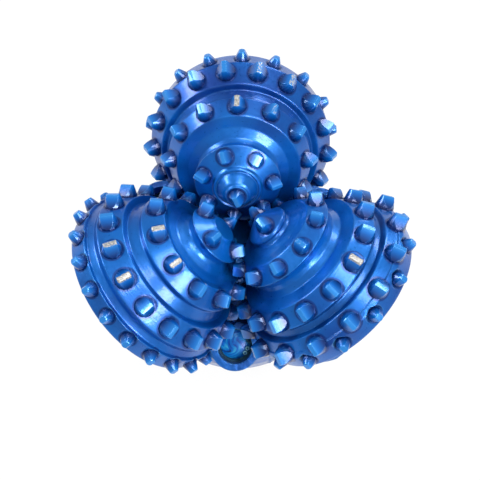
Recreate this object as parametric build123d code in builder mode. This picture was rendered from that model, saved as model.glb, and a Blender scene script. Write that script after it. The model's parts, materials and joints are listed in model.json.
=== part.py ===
"""Tricone drill bit with pressed-in tungsten carbide inserts, 269.875 mm (10 5/8 inch) gauge.

The bit stands on the end face of its tapered threaded pin, so +Z is the bit's own axis and the
cones are at the top, as they are when a bit stands on the rig floor. The origin is the middle of
the pin's end face. Lengths are in millimetres.

Each third of the bit is one leg forging: a sector of the pin and shank, the leg itself and the
bearing journal that points in and up at the middle of the hole. A cone turns on each journal.
One third is modelled with its journal over the X axis and is then turned to its place about Z.

Points of a cone and its journal are given as (t, rho): t is the distance along the journal axis
from the bit's axis outwards, and rho is the distance from the journal axis.
"""

import math
import os

from build123d import *

os.makedirs("parts", exist_ok=True)

# Bit
GAUGE_RADIUS = 134.94
JOURNAL_HEIGHT = 365.0  # where the journal axes pass the bit's axis, above the pin end
JOURNAL_ANGLE = 34.3  # below the horizontal, outwards
CONE_OFFSET = 4.45  # each journal axis passes beside the bit's axis, so the cones also scrape
LEG_AZIMUTH = {"a": 90.0, "b": 210.0, "c": 330.0}

# Pin and shank, 6 5/8 regular connection
PIN_LENGTH = 127.0
PIN_LARGE_RADIUS = 76.1
PIN_TAPER = 1.0 / 12.0  # radius lost per length, a taper of two inches per foot on diameter
THREAD_DEPTH = 3.7
PIN_RELIEF_LENGTH = 12.0
PIN_RELIEF_RADIUS = 74.6
SHOULDER_RADIUS = 93.45
SHANK_RADIUS = 95.0
SHANK_TOP = 160.0
WATER_BORE_RADIUS = 41.0
WATER_BORE_LENGTH = 165.0
PLENUM_TOP = 196.0

# Leg
LEG_RADIUS = 131.0
LEG_SHOULDER_HEIGHT = 310.0  # the leg's back slopes in to the shank below this height
SEAM_ANGLE = 84.0  # weld seam past the leg's own azimuth, so that its nozzle boss is whole
SHIRTTAIL_RADIUS = 56.0
CONE_BACKFACE = 118.5  # t of the flat back of each cone
BACKFACE_GAP = 0.5
DOME_TOP = 233.0

# Journal bearing
SEAL_BOSS_RADIUS = 40.0
SEAL_BOSS_END = 107.4
JOURNAL_RADIUS = 33.0
JOURNAL_END = 79.2
RACE_LAND_RADIUS = 29.9
PILOT_RADIUS = 17.5
PILOT_START = 61.9
PILOT_END = 48.4
RUNNING_GAP = 0.2
BUSHING_RADIUS = 37.0
NOSE_BUSHING_RADIUS = 20.5
THRUST_BUTTON_RADIUS = 14.0
THRUST_BUTTON_THICKNESS = 3.6
BALL_RADIUS = 6.35
BALL_COUNT = 14
BALL_PITCH_RADIUS = 30.5
BALL_T = 70.6
RACE_GROOVE_RADIUS = 6.5
SEAL_SECTION_RADIUS = 3.1
SEAL_T = 112.6
GLAND_WIDTH = 6.6
GLAND_RADIUS = 46.6
MOUTH_RADIUS = 40.9

# Ball hole, from the leg's back to the ball race on the side that carries no load
BALL_HOLE_RADIUS = 7.0
BALL_HOLE_SLOPE = 8.3  # degrees to the journal axis
BALL_HOLE_RHO = -26.5  # on the side away from the hole bottom, where it meets the race

# Grease reservoir in the leg's sloping back; its mouth lies in the slope
RESERVOIR_Z = 198.0
RESERVOIR_RADIUS = 19.0
RESERVOIR_DEPTH = 40.0

# Nozzle between two legs
NOZZLE_AZIMUTH = 60.0  # past its own leg
NOZZLE_R = 88.7
NOZZLE_SIDE = 1.5
NOZZLE_TILT = 18.0
NOZZLE_RIM_HEIGHT = 252.0
NOZZLE_BOSS_RADIUS = 21.8
NOZZLE_POCKET_RADIUS = 15.5
NOZZLE_RECESS = 13.0
NOZZLE_LENGTH = 30.0
NOZZLE_WEB_DROP = 3.0  # top of the webs beside the boss, below its rim
NOZZLE_ORIFICE_RADIUS = 5.6

# Inserts: radius, grip below the land, height above it, half length and half width of the crest
SMALL = dict(radius=6.75, grip=7.5, height=9.0, crest=3.9, blunt=1.7)
MEDIUM = dict(radius=7.5, grip=11.0, height=9.3, crest=4.1, blunt=1.8)
LARGE = dict(radius=7.94, grip=9.0, height=9.6, crest=4.5, blunt=1.9)
GAUGE = dict(radius=5.95, grip=8.0, height=8.0, crest=2.5, blunt=2.3)
HOLE_GAP = 0.02

SIN = math.sin(math.radians(JOURNAL_ANGLE))
COS = math.cos(math.radians(JOURNAL_ANGLE))
LEG_SLOPE = (LEG_RADIUS - SHANK_RADIUS) / (LEG_SHOULDER_HEIGHT - SHANK_TOP)


def leg_radius(height):
    """Radius of the leg's back at a height: the shank's, then the slope, then the full radius."""
    return min(LEG_RADIUS, SHANK_RADIUS + LEG_SLOPE * max(0.0, height - SHANK_TOP))



def on_cone(r, z):
    """(t, rho) of the point at radius r from the bit axis and height z over the journals' crossing,
    on the side of the cone that faces the bottom of the hole."""
    return (r * COS - z * SIN, r * SIN + z * COS)


def leaning(tilt):
    """Direction (t, rho) that leans by tilt degrees from straight up towards the bit's axis."""
    r = -math.sin(math.radians(tilt))
    z = math.cos(math.radians(tilt))
    return on_cone(r, z)


# Cone shells: the outline from nose to backface, with a land under each row and a groove between
# rows for the neighbouring cone's inserts to pass through
HEEL = [on_cone(133.4, 0.5), (CONE_BACKFACE, 60.9)]
CONE_OUTLINE = {
    "a": [(17.0, 8.8), (18.6, 9.2), (19.4, 11.0), (25.0, 15.2), (27.4, 16.4), (26.2, 17.6)]
    + [(26.8, 19.0), (29.0, 20.2), (30.2, 22.8), (32.5, 28.0), (36.4, 35.0), (40.0, 32.6)]
    + [(43.0, 31.2), (46.0, 31.3), (49.0, 33.6), (52.8, 41.2), (53.3, 50.8)]
    + [on_cone(88.5, 11.9), on_cone(90.0, 8.0), on_cone(98.0, 7.0), on_cone(100.6, 11.6)]
    + [on_cone(120.0, 11.5)],
    "b": [(20.6, 10.6), (21.6, 11.4), (29.9, 25.2), (33.0, 22.8), (37.0, 22.2), (40.0, 24.0)]
    + [(44.0, 28.2), (46.2, 35.0), on_cone(59.3, 10.0), on_cone(77.5, 10.6)]
    + [on_cone(79.5, 6.0), on_cone(89.0, 6.0), on_cone(91.0, 12.0), on_cone(111.0, 12.0)]
    + [on_cone(114.0, 7.5), on_cone(119.5, 6.8), on_cone(121.5, 9.5)],
    "c": [(14.5, 3.4), (23.6, 16.5), (24.6, 17.6), (27.0, 17.9), (28.6, 16.4), (31.5, 17.6)]
    + [(33.6, 26.0), (34.3, 33.2), (45.3, 44.8), (48.0, 42.0), (52.0, 40.6), (56.0, 41.0)]
    + [(60.5, 45.0), on_cone(83.2, 11.3), on_cone(99.5, 11.8), on_cone(101.0, 6.0)]
    + [on_cone(106.0, 6.0), on_cone(108.5, 11.0), on_cone(122.0, 10.0)],
}
NOSE_FACE = {"a": 17.0, "b": 20.6, "c": 13.5}

# Rows: name, insert, (t, rho) of the middle of its land, its direction, number, first angle, way round
GAUGE_BASE = on_cone(126.52, 5.4)
GAUGE_LEAN = on_cone(0.5, 0.866)
CONE_ROWS = {
    "a": [
        ("nose_inserts", SMALL, (17.0, 0.0), (-1.0, 0.0), 1, 25.0),
        ("row1_inserts", SMALL, on_cone(42.6, 4.8), leaning(27.0), 7, 74.6),
        ("row2_inserts", MEDIUM, on_cone(81.2, 12.0), leaning(-1.0), 13, 59.3),
        ("row3_inserts", LARGE, on_cone(111.3, 12.0), leaning(-3.0), 18, 31.6),
        ("gauge_inserts", GAUGE, GAUGE_BASE, GAUGE_LEAN, 18, 42.1),
    ],
    "b": [
        ("row1_inserts", SMALL, on_cone(31.6, 0.6), leaning(26.0), 4, 291.4),
        ("row2_inserts", MEDIUM, on_cone(66.4, 10.6), leaning(11.0), 11, 312.2),
        ("row3_inserts", LARGE, on_cone(101.6, 12.0), leaning(2.0), 17, 325.3),
        ("gauge_inserts", GAUGE, GAUGE_BASE, GAUGE_LEAN, 21, 345.6),
    ],
    "c": [
        ("nose_inserts", SMALL, (19.5, 10.5), (-0.82, 0.57), 2, 335.0),
        ("row1_inserts", SMALL, on_cone(55.0, 10.0), leaning(13.0), 10, 314.6),
        ("row2_inserts", LARGE, on_cone(92.3, 11.8), leaning(-3.0), 15, 267.3),
        ("row3_inserts", LARGE, on_cone(117.6, 11.5), leaning(-6.0), 15, 309.6),
        ("gauge_inserts", GAUGE, GAUGE_BASE, GAUGE_LEAN, 15, 321.6),
    ],
}
HEEL_BASE = on_cone(132.65, -9.5)
HEEL_LEAN = on_cone(1.0, 0.0)
HEEL_COMPACT_RADIUS = 4.75
HEEL_COMPACT_GRIP = 6.0
HEEL_COMPACT_DOME = 1.2

# One third's own directions, with its journal over the X axis
CROSSING = Vector(0, CONE_OFFSET, JOURNAL_HEIGHT)
OUT = Vector(COS, 0, -SIN)
UP = Vector(SIN, 0, COS)
SIDE = Vector(0, 1, 0)
JOURNAL_AXIS = Axis(CROSSING, OUT)
MERIDIAN = Plane(origin=CROSSING, x_dir=OUT, z_dir=OUT.cross(UP))


def around_journal(outline):
    """Solid of revolution about the journal axis from an outline of (t, rho) points."""
    with BuildPart() as turned:
        with BuildSketch(MERIDIAN):
            with BuildLine():
                Polyline(*outline, close=True)
            make_face()
        revolve(axis=JOURNAL_AXIS)
    return turned.part


def around_bit(outline):
    """Solid of revolution about the bit's axis from an outline of (radius, height) points."""
    with BuildPart() as turned:
        with BuildSketch(Plane.XZ):
            with BuildLine():
                Polyline(*outline, close=True)
            make_face()
        revolve(axis=Axis.Z)
    return turned.part


def ball_track(radius):
    """Ring that the balls sweep in their race."""
    with BuildPart() as track:
        with BuildSketch(MERIDIAN):
            with Locations((BALL_T, BALL_PITCH_RADIUS)):
                Circle(radius)
        revolve(axis=JOURNAL_AXIS)
    return track.part


def insert_places(base, lean, count, first):
    """Locations of a row's inserts: Z along each insert, X along its crest in the cone's meridian."""
    places = []
    for number in range(count):
        angle = math.radians(first + 360.0 * number / count)
        outward = UP * math.cos(angle) + SIDE * math.sin(angle)
        foot = CROSSING + OUT * base[0] + outward * base[1]
        axis = OUT * lean[0] + outward * lean[1]
        along = OUT * lean[1] - outward * lean[0]
        places.append(Location(Plane(origin=foot, x_dir=along, z_dir=axis)))
    return places


def chisel_insert(radius, grip, height, crest, blunt):
    """Carbide insert: a round shank in the land, and a tapered head with two flats to a crest."""
    with BuildPart() as insert:
        with BuildSketch(Plane.XZ):
            with BuildLine():
                Polyline(
                    (0, -grip),
                    (radius - 0.6, -grip),
                    (radius, -grip + 0.6),
                    (radius, 0.6),
                    (crest + 0.9, height - 1.1),
                    (crest, height - 0.2),
                    (0, height),
                    close=True,
                )
            make_face()
        revolve(axis=Axis.Z)
        with BuildSketch(Plane.YZ):
            for hand in (1, -1):
                with BuildLine():
                    Polyline(
                        (hand * (radius + 1), 0.9),
                        (hand * (radius - 0.1), 0.9),
                        (hand * blunt, height - 0.9),
                        (hand * (blunt - 0.9), height + 1),
                        (hand * (radius + 1), height + 1),
                        close=True,
                    )
                make_face()
        extrude(amount=radius + 1, both=True, mode=Mode.SUBTRACT)
    return insert.part


def heel_compact():
    """Low domed carbide button that guards the cone's heel."""
    with BuildPart() as compact:
        with BuildSketch(Plane.XZ):
            with BuildLine():
                floor = Line((0, -HEEL_COMPACT_GRIP), (HEEL_COMPACT_RADIUS, -HEEL_COMPACT_GRIP))
                wall = Line(floor @ 1, (HEEL_COMPACT_RADIUS, 0))
                shoulder = Line(wall @ 1, (HEEL_COMPACT_RADIUS - 2.2, HEEL_COMPACT_DOME * 0.85))
                top = Line(shoulder @ 1, (0, HEEL_COMPACT_DOME))
                Line(top @ 1, floor @ 0)
            make_face()
        revolve(axis=Axis.Z)
    return compact.part


def turned_to(shape, letter):
    """Copy of a shape of the first third, turned about the bit's axis to the leg's own azimuth."""
    return shape.rotate(Axis.Z, LEG_AZIMUTH[letter])


def write(shape, name):
    """Labels one finished piece and writes its file."""
    shape.label = name
    export_step(shape, "parts/" + name + ".step")


def insert_hole(radius, grip):
    """Hole that an insert is pressed into, open above the land."""
    with BuildPart() as hole:
        with Locations((0, 0, -grip - 0.3)):
            Cylinder(radius + HOLE_GAP, grip + 8, align=(Align.CENTER, Align.CENTER, Align.MIN))
    return hole.part


def cone_shell(letter):
    """Cone: lands and grooves outside, bearing bores, ball race and seal gland inside."""
    outline = [(NOSE_FACE[letter], 0.0)] + CONE_OUTLINE[letter] + HEEL
    button_floor = PILOT_END - 0.3 - THRUST_BUTTON_THICKNESS
    with BuildPart() as cone:
        add(around_journal(outline + [(CONE_BACKFACE, 0.0)]))
        with BuildSketch(MERIDIAN):
            with BuildLine():
                Polyline(
                    (button_floor, 0),
                    (button_floor, THRUST_BUTTON_RADIUS + HOLE_GAP),
                    (PILOT_END - 0.3, THRUST_BUTTON_RADIUS + HOLE_GAP),
                    (PILOT_END - 0.3, NOSE_BUSHING_RADIUS + HOLE_GAP),
                    (PILOT_START - 0.4, NOSE_BUSHING_RADIUS + HOLE_GAP),
                    (PILOT_START - 0.4, RACE_LAND_RADIUS + 1.2),
                    (JOURNAL_END - 0.4, RACE_LAND_RADIUS + 1.2),
                    (JOURNAL_END - 0.4, BUSHING_RADIUS + HOLE_GAP),
                    (SEAL_BOSS_END - 0.4, BUSHING_RADIUS + HOLE_GAP),
                    (SEAL_BOSS_END - 0.4, MOUTH_RADIUS),
                    (SEAL_T - GLAND_WIDTH / 2, MOUTH_RADIUS),
                    (SEAL_T - GLAND_WIDTH / 2, GLAND_RADIUS),
                    (SEAL_T + GLAND_WIDTH / 2, GLAND_RADIUS),
                    (SEAL_T + GLAND_WIDTH / 2, MOUTH_RADIUS),
                    (CONE_BACKFACE + 1, MOUTH_RADIUS),
                    (CONE_BACKFACE + 1, 0),
                    close=True,
                )
            make_face()
        revolve(axis=JOURNAL_AXIS, mode=Mode.SUBTRACT)
        add(ball_track(RACE_GROOVE_RADIUS), mode=Mode.SUBTRACT)
        for _, insert, base, lean, count, first in CONE_ROWS[letter]:
            hole = insert_hole(insert["radius"], insert["grip"])
            with Locations(*insert_places(base, lean, count, first)):
                add(hole, mode=Mode.SUBTRACT)
        hole = insert_hole(HEEL_COMPACT_RADIUS, HEEL_COMPACT_GRIP)
        with Locations(*heel_places(letter)):
            add(hole, mode=Mode.SUBTRACT)
    return cone.part


def heel_places(letter):
    """Locations of the heel compacts, each between two gauge inserts."""
    _, _, _, _, count, first = CONE_ROWS[letter][-1]
    return insert_places(HEEL_BASE, HEEL_LEAN, count, first + 180.0 / count)


def insert_row(insert, places):
    """One row of like inserts, each a solid of its own."""
    with BuildPart() as row:
        with Locations(*places):
            add(insert)
    return row.part


# Space that a turning cone and its inserts sweep, with working clearance for the legs
SWEPT_OUTLINE = [
    (6.0, 0.0),
    (6.0, 21.0),
    (20.0, 39.0),
    (36.0, 54.0),
    (52.0, 70.0),
    (76.0, 85.5),
    (88.0, 89.0),
    (111.2, 87.0),
    (113.8, 75.6),
    (121.0, 64.5),
    (CONE_BACKFACE + BACKFACE_GAP, 61.6),
    (CONE_BACKFACE + BACKFACE_GAP, 0.0),
]

# Outside of one sector of the body: pin, shoulder, shank, and the dome under the cones
BODY_OUTLINE = [
    (0, 0),
    (PIN_LARGE_RADIUS - PIN_LENGTH * PIN_TAPER - THREAD_DEPTH, 0),
    (PIN_LARGE_RADIUS - THREAD_DEPTH, PIN_LENGTH - PIN_RELIEF_LENGTH),
    (PIN_RELIEF_RADIUS, PIN_LENGTH - PIN_RELIEF_LENGTH + 3),
    (PIN_RELIEF_RADIUS, PIN_LENGTH),
    (SHOULDER_RADIUS, PIN_LENGTH),
    (SHANK_RADIUS, PIN_LENGTH + 4.5),
    (SHANK_RADIUS, SHANK_TOP),
    (90.0, 192.0),
    (74.0, 219.0),
    (40.0, 231.0),
    (0, DOME_TOP),
]
WATERWAY_OUTLINE = [
    (0, -1),
    (WATER_BORE_RADIUS, -1),
    (WATER_BORE_RADIUS, WATER_BORE_LENGTH),
    (30, 188),
    (14, PLENUM_TOP),
    (0, PLENUM_TOP),
]
# Outside of the leg: full radius at the cone, sloping in to the shank at its shoulder
LEG_OUTLINE = [
    (0, 100),
    (SHANK_RADIUS - 2, 100),
    (SHANK_RADIUS - 2, SHANK_TOP - 4),
    (SHANK_RADIUS, SHANK_TOP),
    (LEG_RADIUS, LEG_SHOULDER_HEIGHT),
    (LEG_RADIUS, 400),
    (0, 400),
]

# Nozzle: middle of its rim and its direction
NOZZLE_ANGLE = math.radians(NOZZLE_AZIMUTH)
NOZZLE_OUT = Vector(math.cos(NOZZLE_ANGLE), math.sin(NOZZLE_ANGLE), 0)
NOZZLE_ACROSS = Vector(-math.sin(NOZZLE_ANGLE), math.cos(NOZZLE_ANGLE), 0)
NOZZLE_TURN = math.radians(NOZZLE_TILT)
NOZZLE_JET = NOZZLE_OUT * math.sin(NOZZLE_TURN) + Vector(0, 0, math.cos(NOZZLE_TURN))
NOZZLE_RIM = NOZZLE_OUT * NOZZLE_R + NOZZLE_ACROSS * NOZZLE_SIDE + Vector(0, 0, NOZZLE_RIM_HEIGHT)
NOZZLE_PLANE = Plane(origin=NOZZLE_RIM, x_dir=NOZZLE_ACROSS, z_dir=NOZZLE_JET)
NOZZLE_SEAT = NOZZLE_RIM - NOZZLE_JET * (NOZZLE_RECESS + NOZZLE_LENGTH)
NOZZLE_AXIS = Axis(NOZZLE_RIM, NOZZLE_JET)
# Plane through the nozzle's axis, in which its turned parts are drawn as (radius, height over rim)
NOZZLE_SECTION = Plane(
    origin=NOZZLE_RIM, x_dir=NOZZLE_ACROSS, z_dir=NOZZLE_ACROSS.cross(NOZZLE_JET)
)

# Reservoir: middle of its mouth and the way it faces
RESERVOIR_TURN = math.atan(LEG_SLOPE)
RESERVOIR_FACING = Vector(math.cos(RESERVOIR_TURN), 0, -math.sin(RESERVOIR_TURN))
RESERVOIR_MOUTH = Vector(leg_radius(RESERVOIR_Z), CONE_OFFSET, RESERVOIR_Z)
RESERVOIR_SECTION = Plane(
    origin=RESERVOIR_MOUTH, x_dir=(0, 1, 0), z_dir=Vector(0, 1, 0).cross(RESERVOIR_FACING)
)
RESERVOIR_AXIS = Axis(RESERVOIR_MOUTH, RESERVOIR_FACING)

# Ball hole
BALL_HOLE_TURN = math.radians(BALL_HOLE_SLOPE)
BALL_HOLE_WAY = OUT * math.cos(BALL_HOLE_TURN) + UP * math.sin(BALL_HOLE_TURN)
BALL_HOLE_START = CROSSING + OUT * BALL_T + UP * BALL_HOLE_RHO
BALL_HOLE_PLANE = Plane(origin=BALL_HOLE_START, x_dir=SIDE, z_dir=BALL_HOLE_WAY)


# Bores of the leg, as (radius, height over the mouth's plane)
RESERVOIR_BORE = [
    (0, -RESERVOIR_DEPTH),
    (RESERVOIR_RADIUS - 2, -RESERVOIR_DEPTH),
    (RESERVOIR_RADIUS - 2, -16),
    (RESERVOIR_RADIUS, -16),
    (RESERVOIR_RADIUS, -6.6),
    (RESERVOIR_RADIUS + 1.5, -6.6),
    (RESERVOIR_RADIUS + 1.5, -4.4),
    (RESERVOIR_RADIUS, -4.4),
    (RESERVOIR_RADIUS, 20),
    (0, 20),
]
RESERVOIR_FLOOR = RESERVOIR_MOUTH - RESERVOIR_FACING * RESERVOIR_DEPTH
GREASE_START = RESERVOIR_FLOOR + RESERVOIR_FACING * 2
GREASE_END = BALL_HOLE_START + BALL_HOLE_WAY * 58.0
FEED_END = NOZZLE_OUT * 26 + Vector(0, 0, 170)
FEED_START = NOZZLE_SEAT + (NOZZLE_SEAT - FEED_END).normalized() * 8
NOZZLE_TOP = -NOZZLE_RECESS
NOZZLE_POCKET = [
    (0, NOZZLE_TOP - NOZZLE_LENGTH - 0.1),
    (NOZZLE_POCKET_RADIUS, NOZZLE_TOP - NOZZLE_LENGTH - 0.1),
    (NOZZLE_POCKET_RADIUS, NOZZLE_TOP - 18.2),
    (NOZZLE_POCKET_RADIUS + 2.4, NOZZLE_TOP - 18.2),
    (NOZZLE_POCKET_RADIUS + 2.4, NOZZLE_TOP - 13.6),
    (NOZZLE_POCKET_RADIUS, NOZZLE_TOP - 13.6),
    (NOZZLE_POCKET_RADIUS, NOZZLE_TOP + 0.3),
    (NOZZLE_POCKET_RADIUS + 1.6, NOZZLE_TOP + 0.3),
    (NOZZLE_POCKET_RADIUS + 1.6, NOZZLE_TOP + 2.7),
    (NOZZLE_POCKET_RADIUS, NOZZLE_TOP + 2.7),
    (NOZZLE_POCKET_RADIUS, 30),
    (0, 30),
]
SHIRTTAIL_TOP = 343.0  # top of the leg's rounded end
SHIRTTAIL_SPREAD = ((0.0, 12.0), (-17.0, 17.0), (17.0, 17.0), (-31.0, 28.0), (31.0, 28.0))
SHIRTTAIL_PLACES = []
for side, below in SHIRTTAIL_SPREAD:
    height = SHIRTTAIL_TOP - below
    across = side + CONE_OFFSET
    depth = math.sqrt(leg_radius(height) ** 2 - across**2)
    face = Plane(origin=(depth, across, height), x_dir=(0, 0, 1), z_dir=(depth, across, 0))
    SHIRTTAIL_PLACES.append(Location(face))


def turned_at(plane, axis, outline):
    """Turned part or bore drawn in its own section plane as (radius, distance along its axis)."""
    with BuildPart() as turned:
        with BuildSketch(plane):
            with BuildLine():
                Polyline(*outline, close=True)
            make_face()
        revolve(axis=axis)
    return turned.part


def rod(start, end, radius):
    """Straight drilled passage between two points."""
    way = end - start
    with BuildPart() as drilled:
        with BuildSketch(Plane(origin=start, z_dir=way)):
            Circle(radius)
        extrude(amount=way.length)
    return drilled.part


def nozzle_web():
    """Metal that joins the nozzle boss to the leg on each side, flaring into the boss."""
    with BuildPart() as web:
        with BuildSketch(NOZZLE_PLANE.offset(-NOZZLE_WEB_DROP)):
            with BuildLine():
                right = Spline((17.5, -12.5), (24.0, -8.6), (38.0, -5.0), (56.0, -4.0))
                right_end = Line(right @ 1, (56.0, 16.0))
                inside = Line(right_end @ 1, (-56.0, 16.0))
                left_end = Line(inside @ 1, (-56.0, -7.0))
                left = Spline(left_end @ 1, (-38.0, -7.6), (-25.0, -9.8), (-17.5, -12.8))
                Line(left @ 1, right @ 0)
            make_face()
        extrude(amount=-70)
    return web.part


def leg_forging():
    """Leg, its journal, and its third of the pin, shank and dome, before it is turned to its place."""
    swept = around_journal(SWEPT_OUTLINE)
    leg_limit = around_bit(LEG_OUTLINE)
    backface = CROSSING + OUT * (CONE_BACKFACE + BACKFACE_GAP)
    behind_cone = Plane(origin=backface, x_dir=SIDE, z_dir=OUT)
    with BuildPart() as trunk:
        # Round end behind the cone, and flanks that widen down to the shank
        with BuildSketch(Plane(origin=CROSSING, x_dir=SIDE, z_dir=OUT)):
            Circle(SHIRTTAIL_RADIUS)
        extrude(amount=190)
        with BuildSketch(Plane(origin=(0, CONE_OFFSET, 0), x_dir=(0, 1, 0), z_dir=(1, 0, 0))):
            with BuildLine():
                Polyline(
                    (-54, 292),
                    (54, 292),
                    (57, 250),
                    (60, 205),
                    (60, 140),
                    (-60, 140),
                    (-60, 205),
                    (-57, 250),
                    close=True,
                )
            make_face()
        extrude(amount=190)
        with BuildSketch(behind_cone):
            Rectangle(400, 600)
        extrude(amount=200, mode=Mode.INTERSECT)
        add(leg_limit, mode=Mode.INTERSECT)
    web = nozzle_web()
    first_turn = math.radians(SEAM_ANGLE - 120)
    second_turn = math.radians(SEAM_ANGLE)
    first_seam = (300 * math.cos(first_turn), 300 * math.sin(first_turn))
    second_seam = (300 * math.cos(second_turn), 300 * math.sin(second_turn))
    with BuildPart() as leg:
        add(around_bit(BODY_OUTLINE))
        # Nozzle boss between this leg and the next, and the webs beside it and its neighbour
        with BuildSketch(NOZZLE_PLANE):
            Circle(NOZZLE_BOSS_RADIUS)
        extrude(amount=-100)
        add(web)
        add(web.rotate(Axis.Z, -120))
        add(trunk.part)
        # The weld seams with the two other legs
        with BuildSketch(Plane.XY):
            with BuildLine():
                Polyline((0, 0), first_seam, (500, 200), second_seam, close=True)
            make_face()
        extrude(amount=400, mode=Mode.INTERSECT)
        add(around_bit(WATERWAY_OUTLINE), mode=Mode.SUBTRACT)
        for azimuth in (0, 120, 240):
            add(swept.rotate(Axis.Z, azimuth), mode=Mode.SUBTRACT)
        # Journal with its seal boss, ball race and pilot pin
        with BuildSketch(MERIDIAN):
            with BuildLine():
                Polyline(
                    (CONE_BACKFACE + 12, 0),
                    (PILOT_END, 0),
                    (PILOT_END, PILOT_RADIUS - 1),
                    (PILOT_END + 1, PILOT_RADIUS),
                    (PILOT_START, PILOT_RADIUS),
                    (PILOT_START, RACE_LAND_RADIUS),
                    (JOURNAL_END, RACE_LAND_RADIUS),
                    (JOURNAL_END, JOURNAL_RADIUS - 1),
                    (JOURNAL_END + 1, JOURNAL_RADIUS),
                    (SEAL_BOSS_END, JOURNAL_RADIUS),
                    (SEAL_BOSS_END, SEAL_BOSS_RADIUS - 0.6),
                    (SEAL_BOSS_END + 0.6, SEAL_BOSS_RADIUS),
                    (CONE_BACKFACE + 12, SEAL_BOSS_RADIUS),
                    close=True,
                )
            make_face()
        revolve(axis=JOURNAL_AXIS)
        add(ball_track(RACE_GROOVE_RADIUS), mode=Mode.SUBTRACT)
        # Hole that the balls go in by
        with BuildSketch(BALL_HOLE_PLANE):
            Circle(BALL_HOLE_RADIUS)
        extrude(amount=110, mode=Mode.SUBTRACT)
        # Reservoir bore, wider at its mouth for the cap, and its grease passage to the ball hole
        add(turned_at(RESERVOIR_SECTION, RESERVOIR_AXIS, RESERVOIR_BORE), mode=Mode.SUBTRACT)
        add(rod(GREASE_START, GREASE_END, 2.5), mode=Mode.SUBTRACT)
        # Nozzle pocket, its two ring grooves, and the channel that feeds it
        add(turned_at(NOZZLE_SECTION, NOZZLE_AXIS, NOZZLE_POCKET), mode=Mode.SUBTRACT)
        add(rod(FEED_START, FEED_END, 11.0), mode=Mode.SUBTRACT)
        for place in SHIRTTAIL_PLACES:
            with Locations(place):
                add(insert_hole(HEEL_COMPACT_RADIUS, HEEL_COMPACT_GRIP), mode=Mode.SUBTRACT)
    return leg.part


BUSHING_OUTLINE = [
    (JOURNAL_END + 0.2, JOURNAL_RADIUS + RUNNING_GAP),
    (JOURNAL_END + 0.2, BUSHING_RADIUS),
    (SEAL_BOSS_END - 0.6, BUSHING_RADIUS),
    (SEAL_BOSS_END - 0.6, JOURNAL_RADIUS + RUNNING_GAP),
]
NOSE_BUSHING_OUTLINE = [
    (PILOT_END + 0.2, PILOT_RADIUS + RUNNING_GAP),
    (PILOT_END + 0.2, NOSE_BUSHING_RADIUS),
    (PILOT_START - 0.8, NOSE_BUSHING_RADIUS),
    (PILOT_START - 0.8, PILOT_RADIUS + RUNNING_GAP),
]
BUTTON_OUTLINE = [
    (PILOT_END - 0.3 - THRUST_BUTTON_THICKNESS, 0),
    (PILOT_END - 0.3 - THRUST_BUTTON_THICKNESS, THRUST_BUTTON_RADIUS),
    (PILOT_END - 0.3, THRUST_BUTTON_RADIUS),
    (PILOT_END - 0.3, 0),
]


def bearing_balls():
    """Balls that keep the cone on its journal."""
    with BuildPart() as balls:
        for number in range(BALL_COUNT):
            angle = 2 * math.pi * number / BALL_COUNT
            outward = UP * math.cos(angle) + SIDE * math.sin(angle)
            with Locations(CROSSING + OUT * BALL_T + outward * BALL_PITCH_RADIUS):
                Sphere(BALL_RADIUS)
    return balls.part


# The plug keeps inside the journal
PLUG_LIMIT = [
    (60.0, 0),
    (60.0, RACE_LAND_RADIUS - 0.2),
    (JOURNAL_END + 0.2, RACE_LAND_RADIUS - 0.2),
    (JOURNAL_END + 0.2, JOURNAL_RADIUS - 0.2),
    (200.0, JOURNAL_RADIUS - 0.2),
    (200.0, 0),
]


# and just under the leg's back
PLUG_OUTSIDE = [
    (0, 100),
    (SHANK_RADIUS - 0.5, 100),
    (SHANK_RADIUS - 0.5, SHANK_TOP),
    (LEG_RADIUS - 0.5, LEG_SHOULDER_HEIGHT),
    (LEG_RADIUS - 0.5, 400),
    (0, 400),
]


def ball_plug():
    """Plug that closes the ball hole, with a waist for the grease and its end shaped to the race."""
    section = Plane(origin=BALL_HOLE_START, x_dir=SIDE, z_dir=SIDE.cross(BALL_HOLE_WAY))
    with BuildPart() as plug:
        with BuildSketch(section):
            with BuildLine():
                Polyline(
                    (0, 0),
                    (BALL_HOLE_RADIUS - 0.1, 0),
                    (BALL_HOLE_RADIUS - 0.1, 18),
                    (4.6, 22),
                    (4.6, 70),
                    (BALL_HOLE_RADIUS - 0.1, 74),
                    (BALL_HOLE_RADIUS - 0.1, 109),
                    (0, 109),
                    close=True,
                )
            make_face()
        revolve(axis=Axis(BALL_HOLE_START, BALL_HOLE_WAY))
        add(ball_track(RACE_GROOVE_RADIUS + 0.1), mode=Mode.SUBTRACT)
        add(around_journal(PLUG_LIMIT), mode=Mode.INTERSECT)
        add(around_bit(PLUG_OUTSIDE), mode=Mode.INTERSECT)
    return plug.part


def cone_seal():
    """O-ring between the cone and the journal's seal boss."""
    with BuildPart() as ring:
        with BuildSketch(MERIDIAN):
            with Locations((SEAL_T, (SEAL_BOSS_RADIUS + GLAND_RADIUS) / 2)):
                Circle(SEAL_SECTION_RADIUS)
        revolve(axis=JOURNAL_AXIS)
    return ring.part


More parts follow.
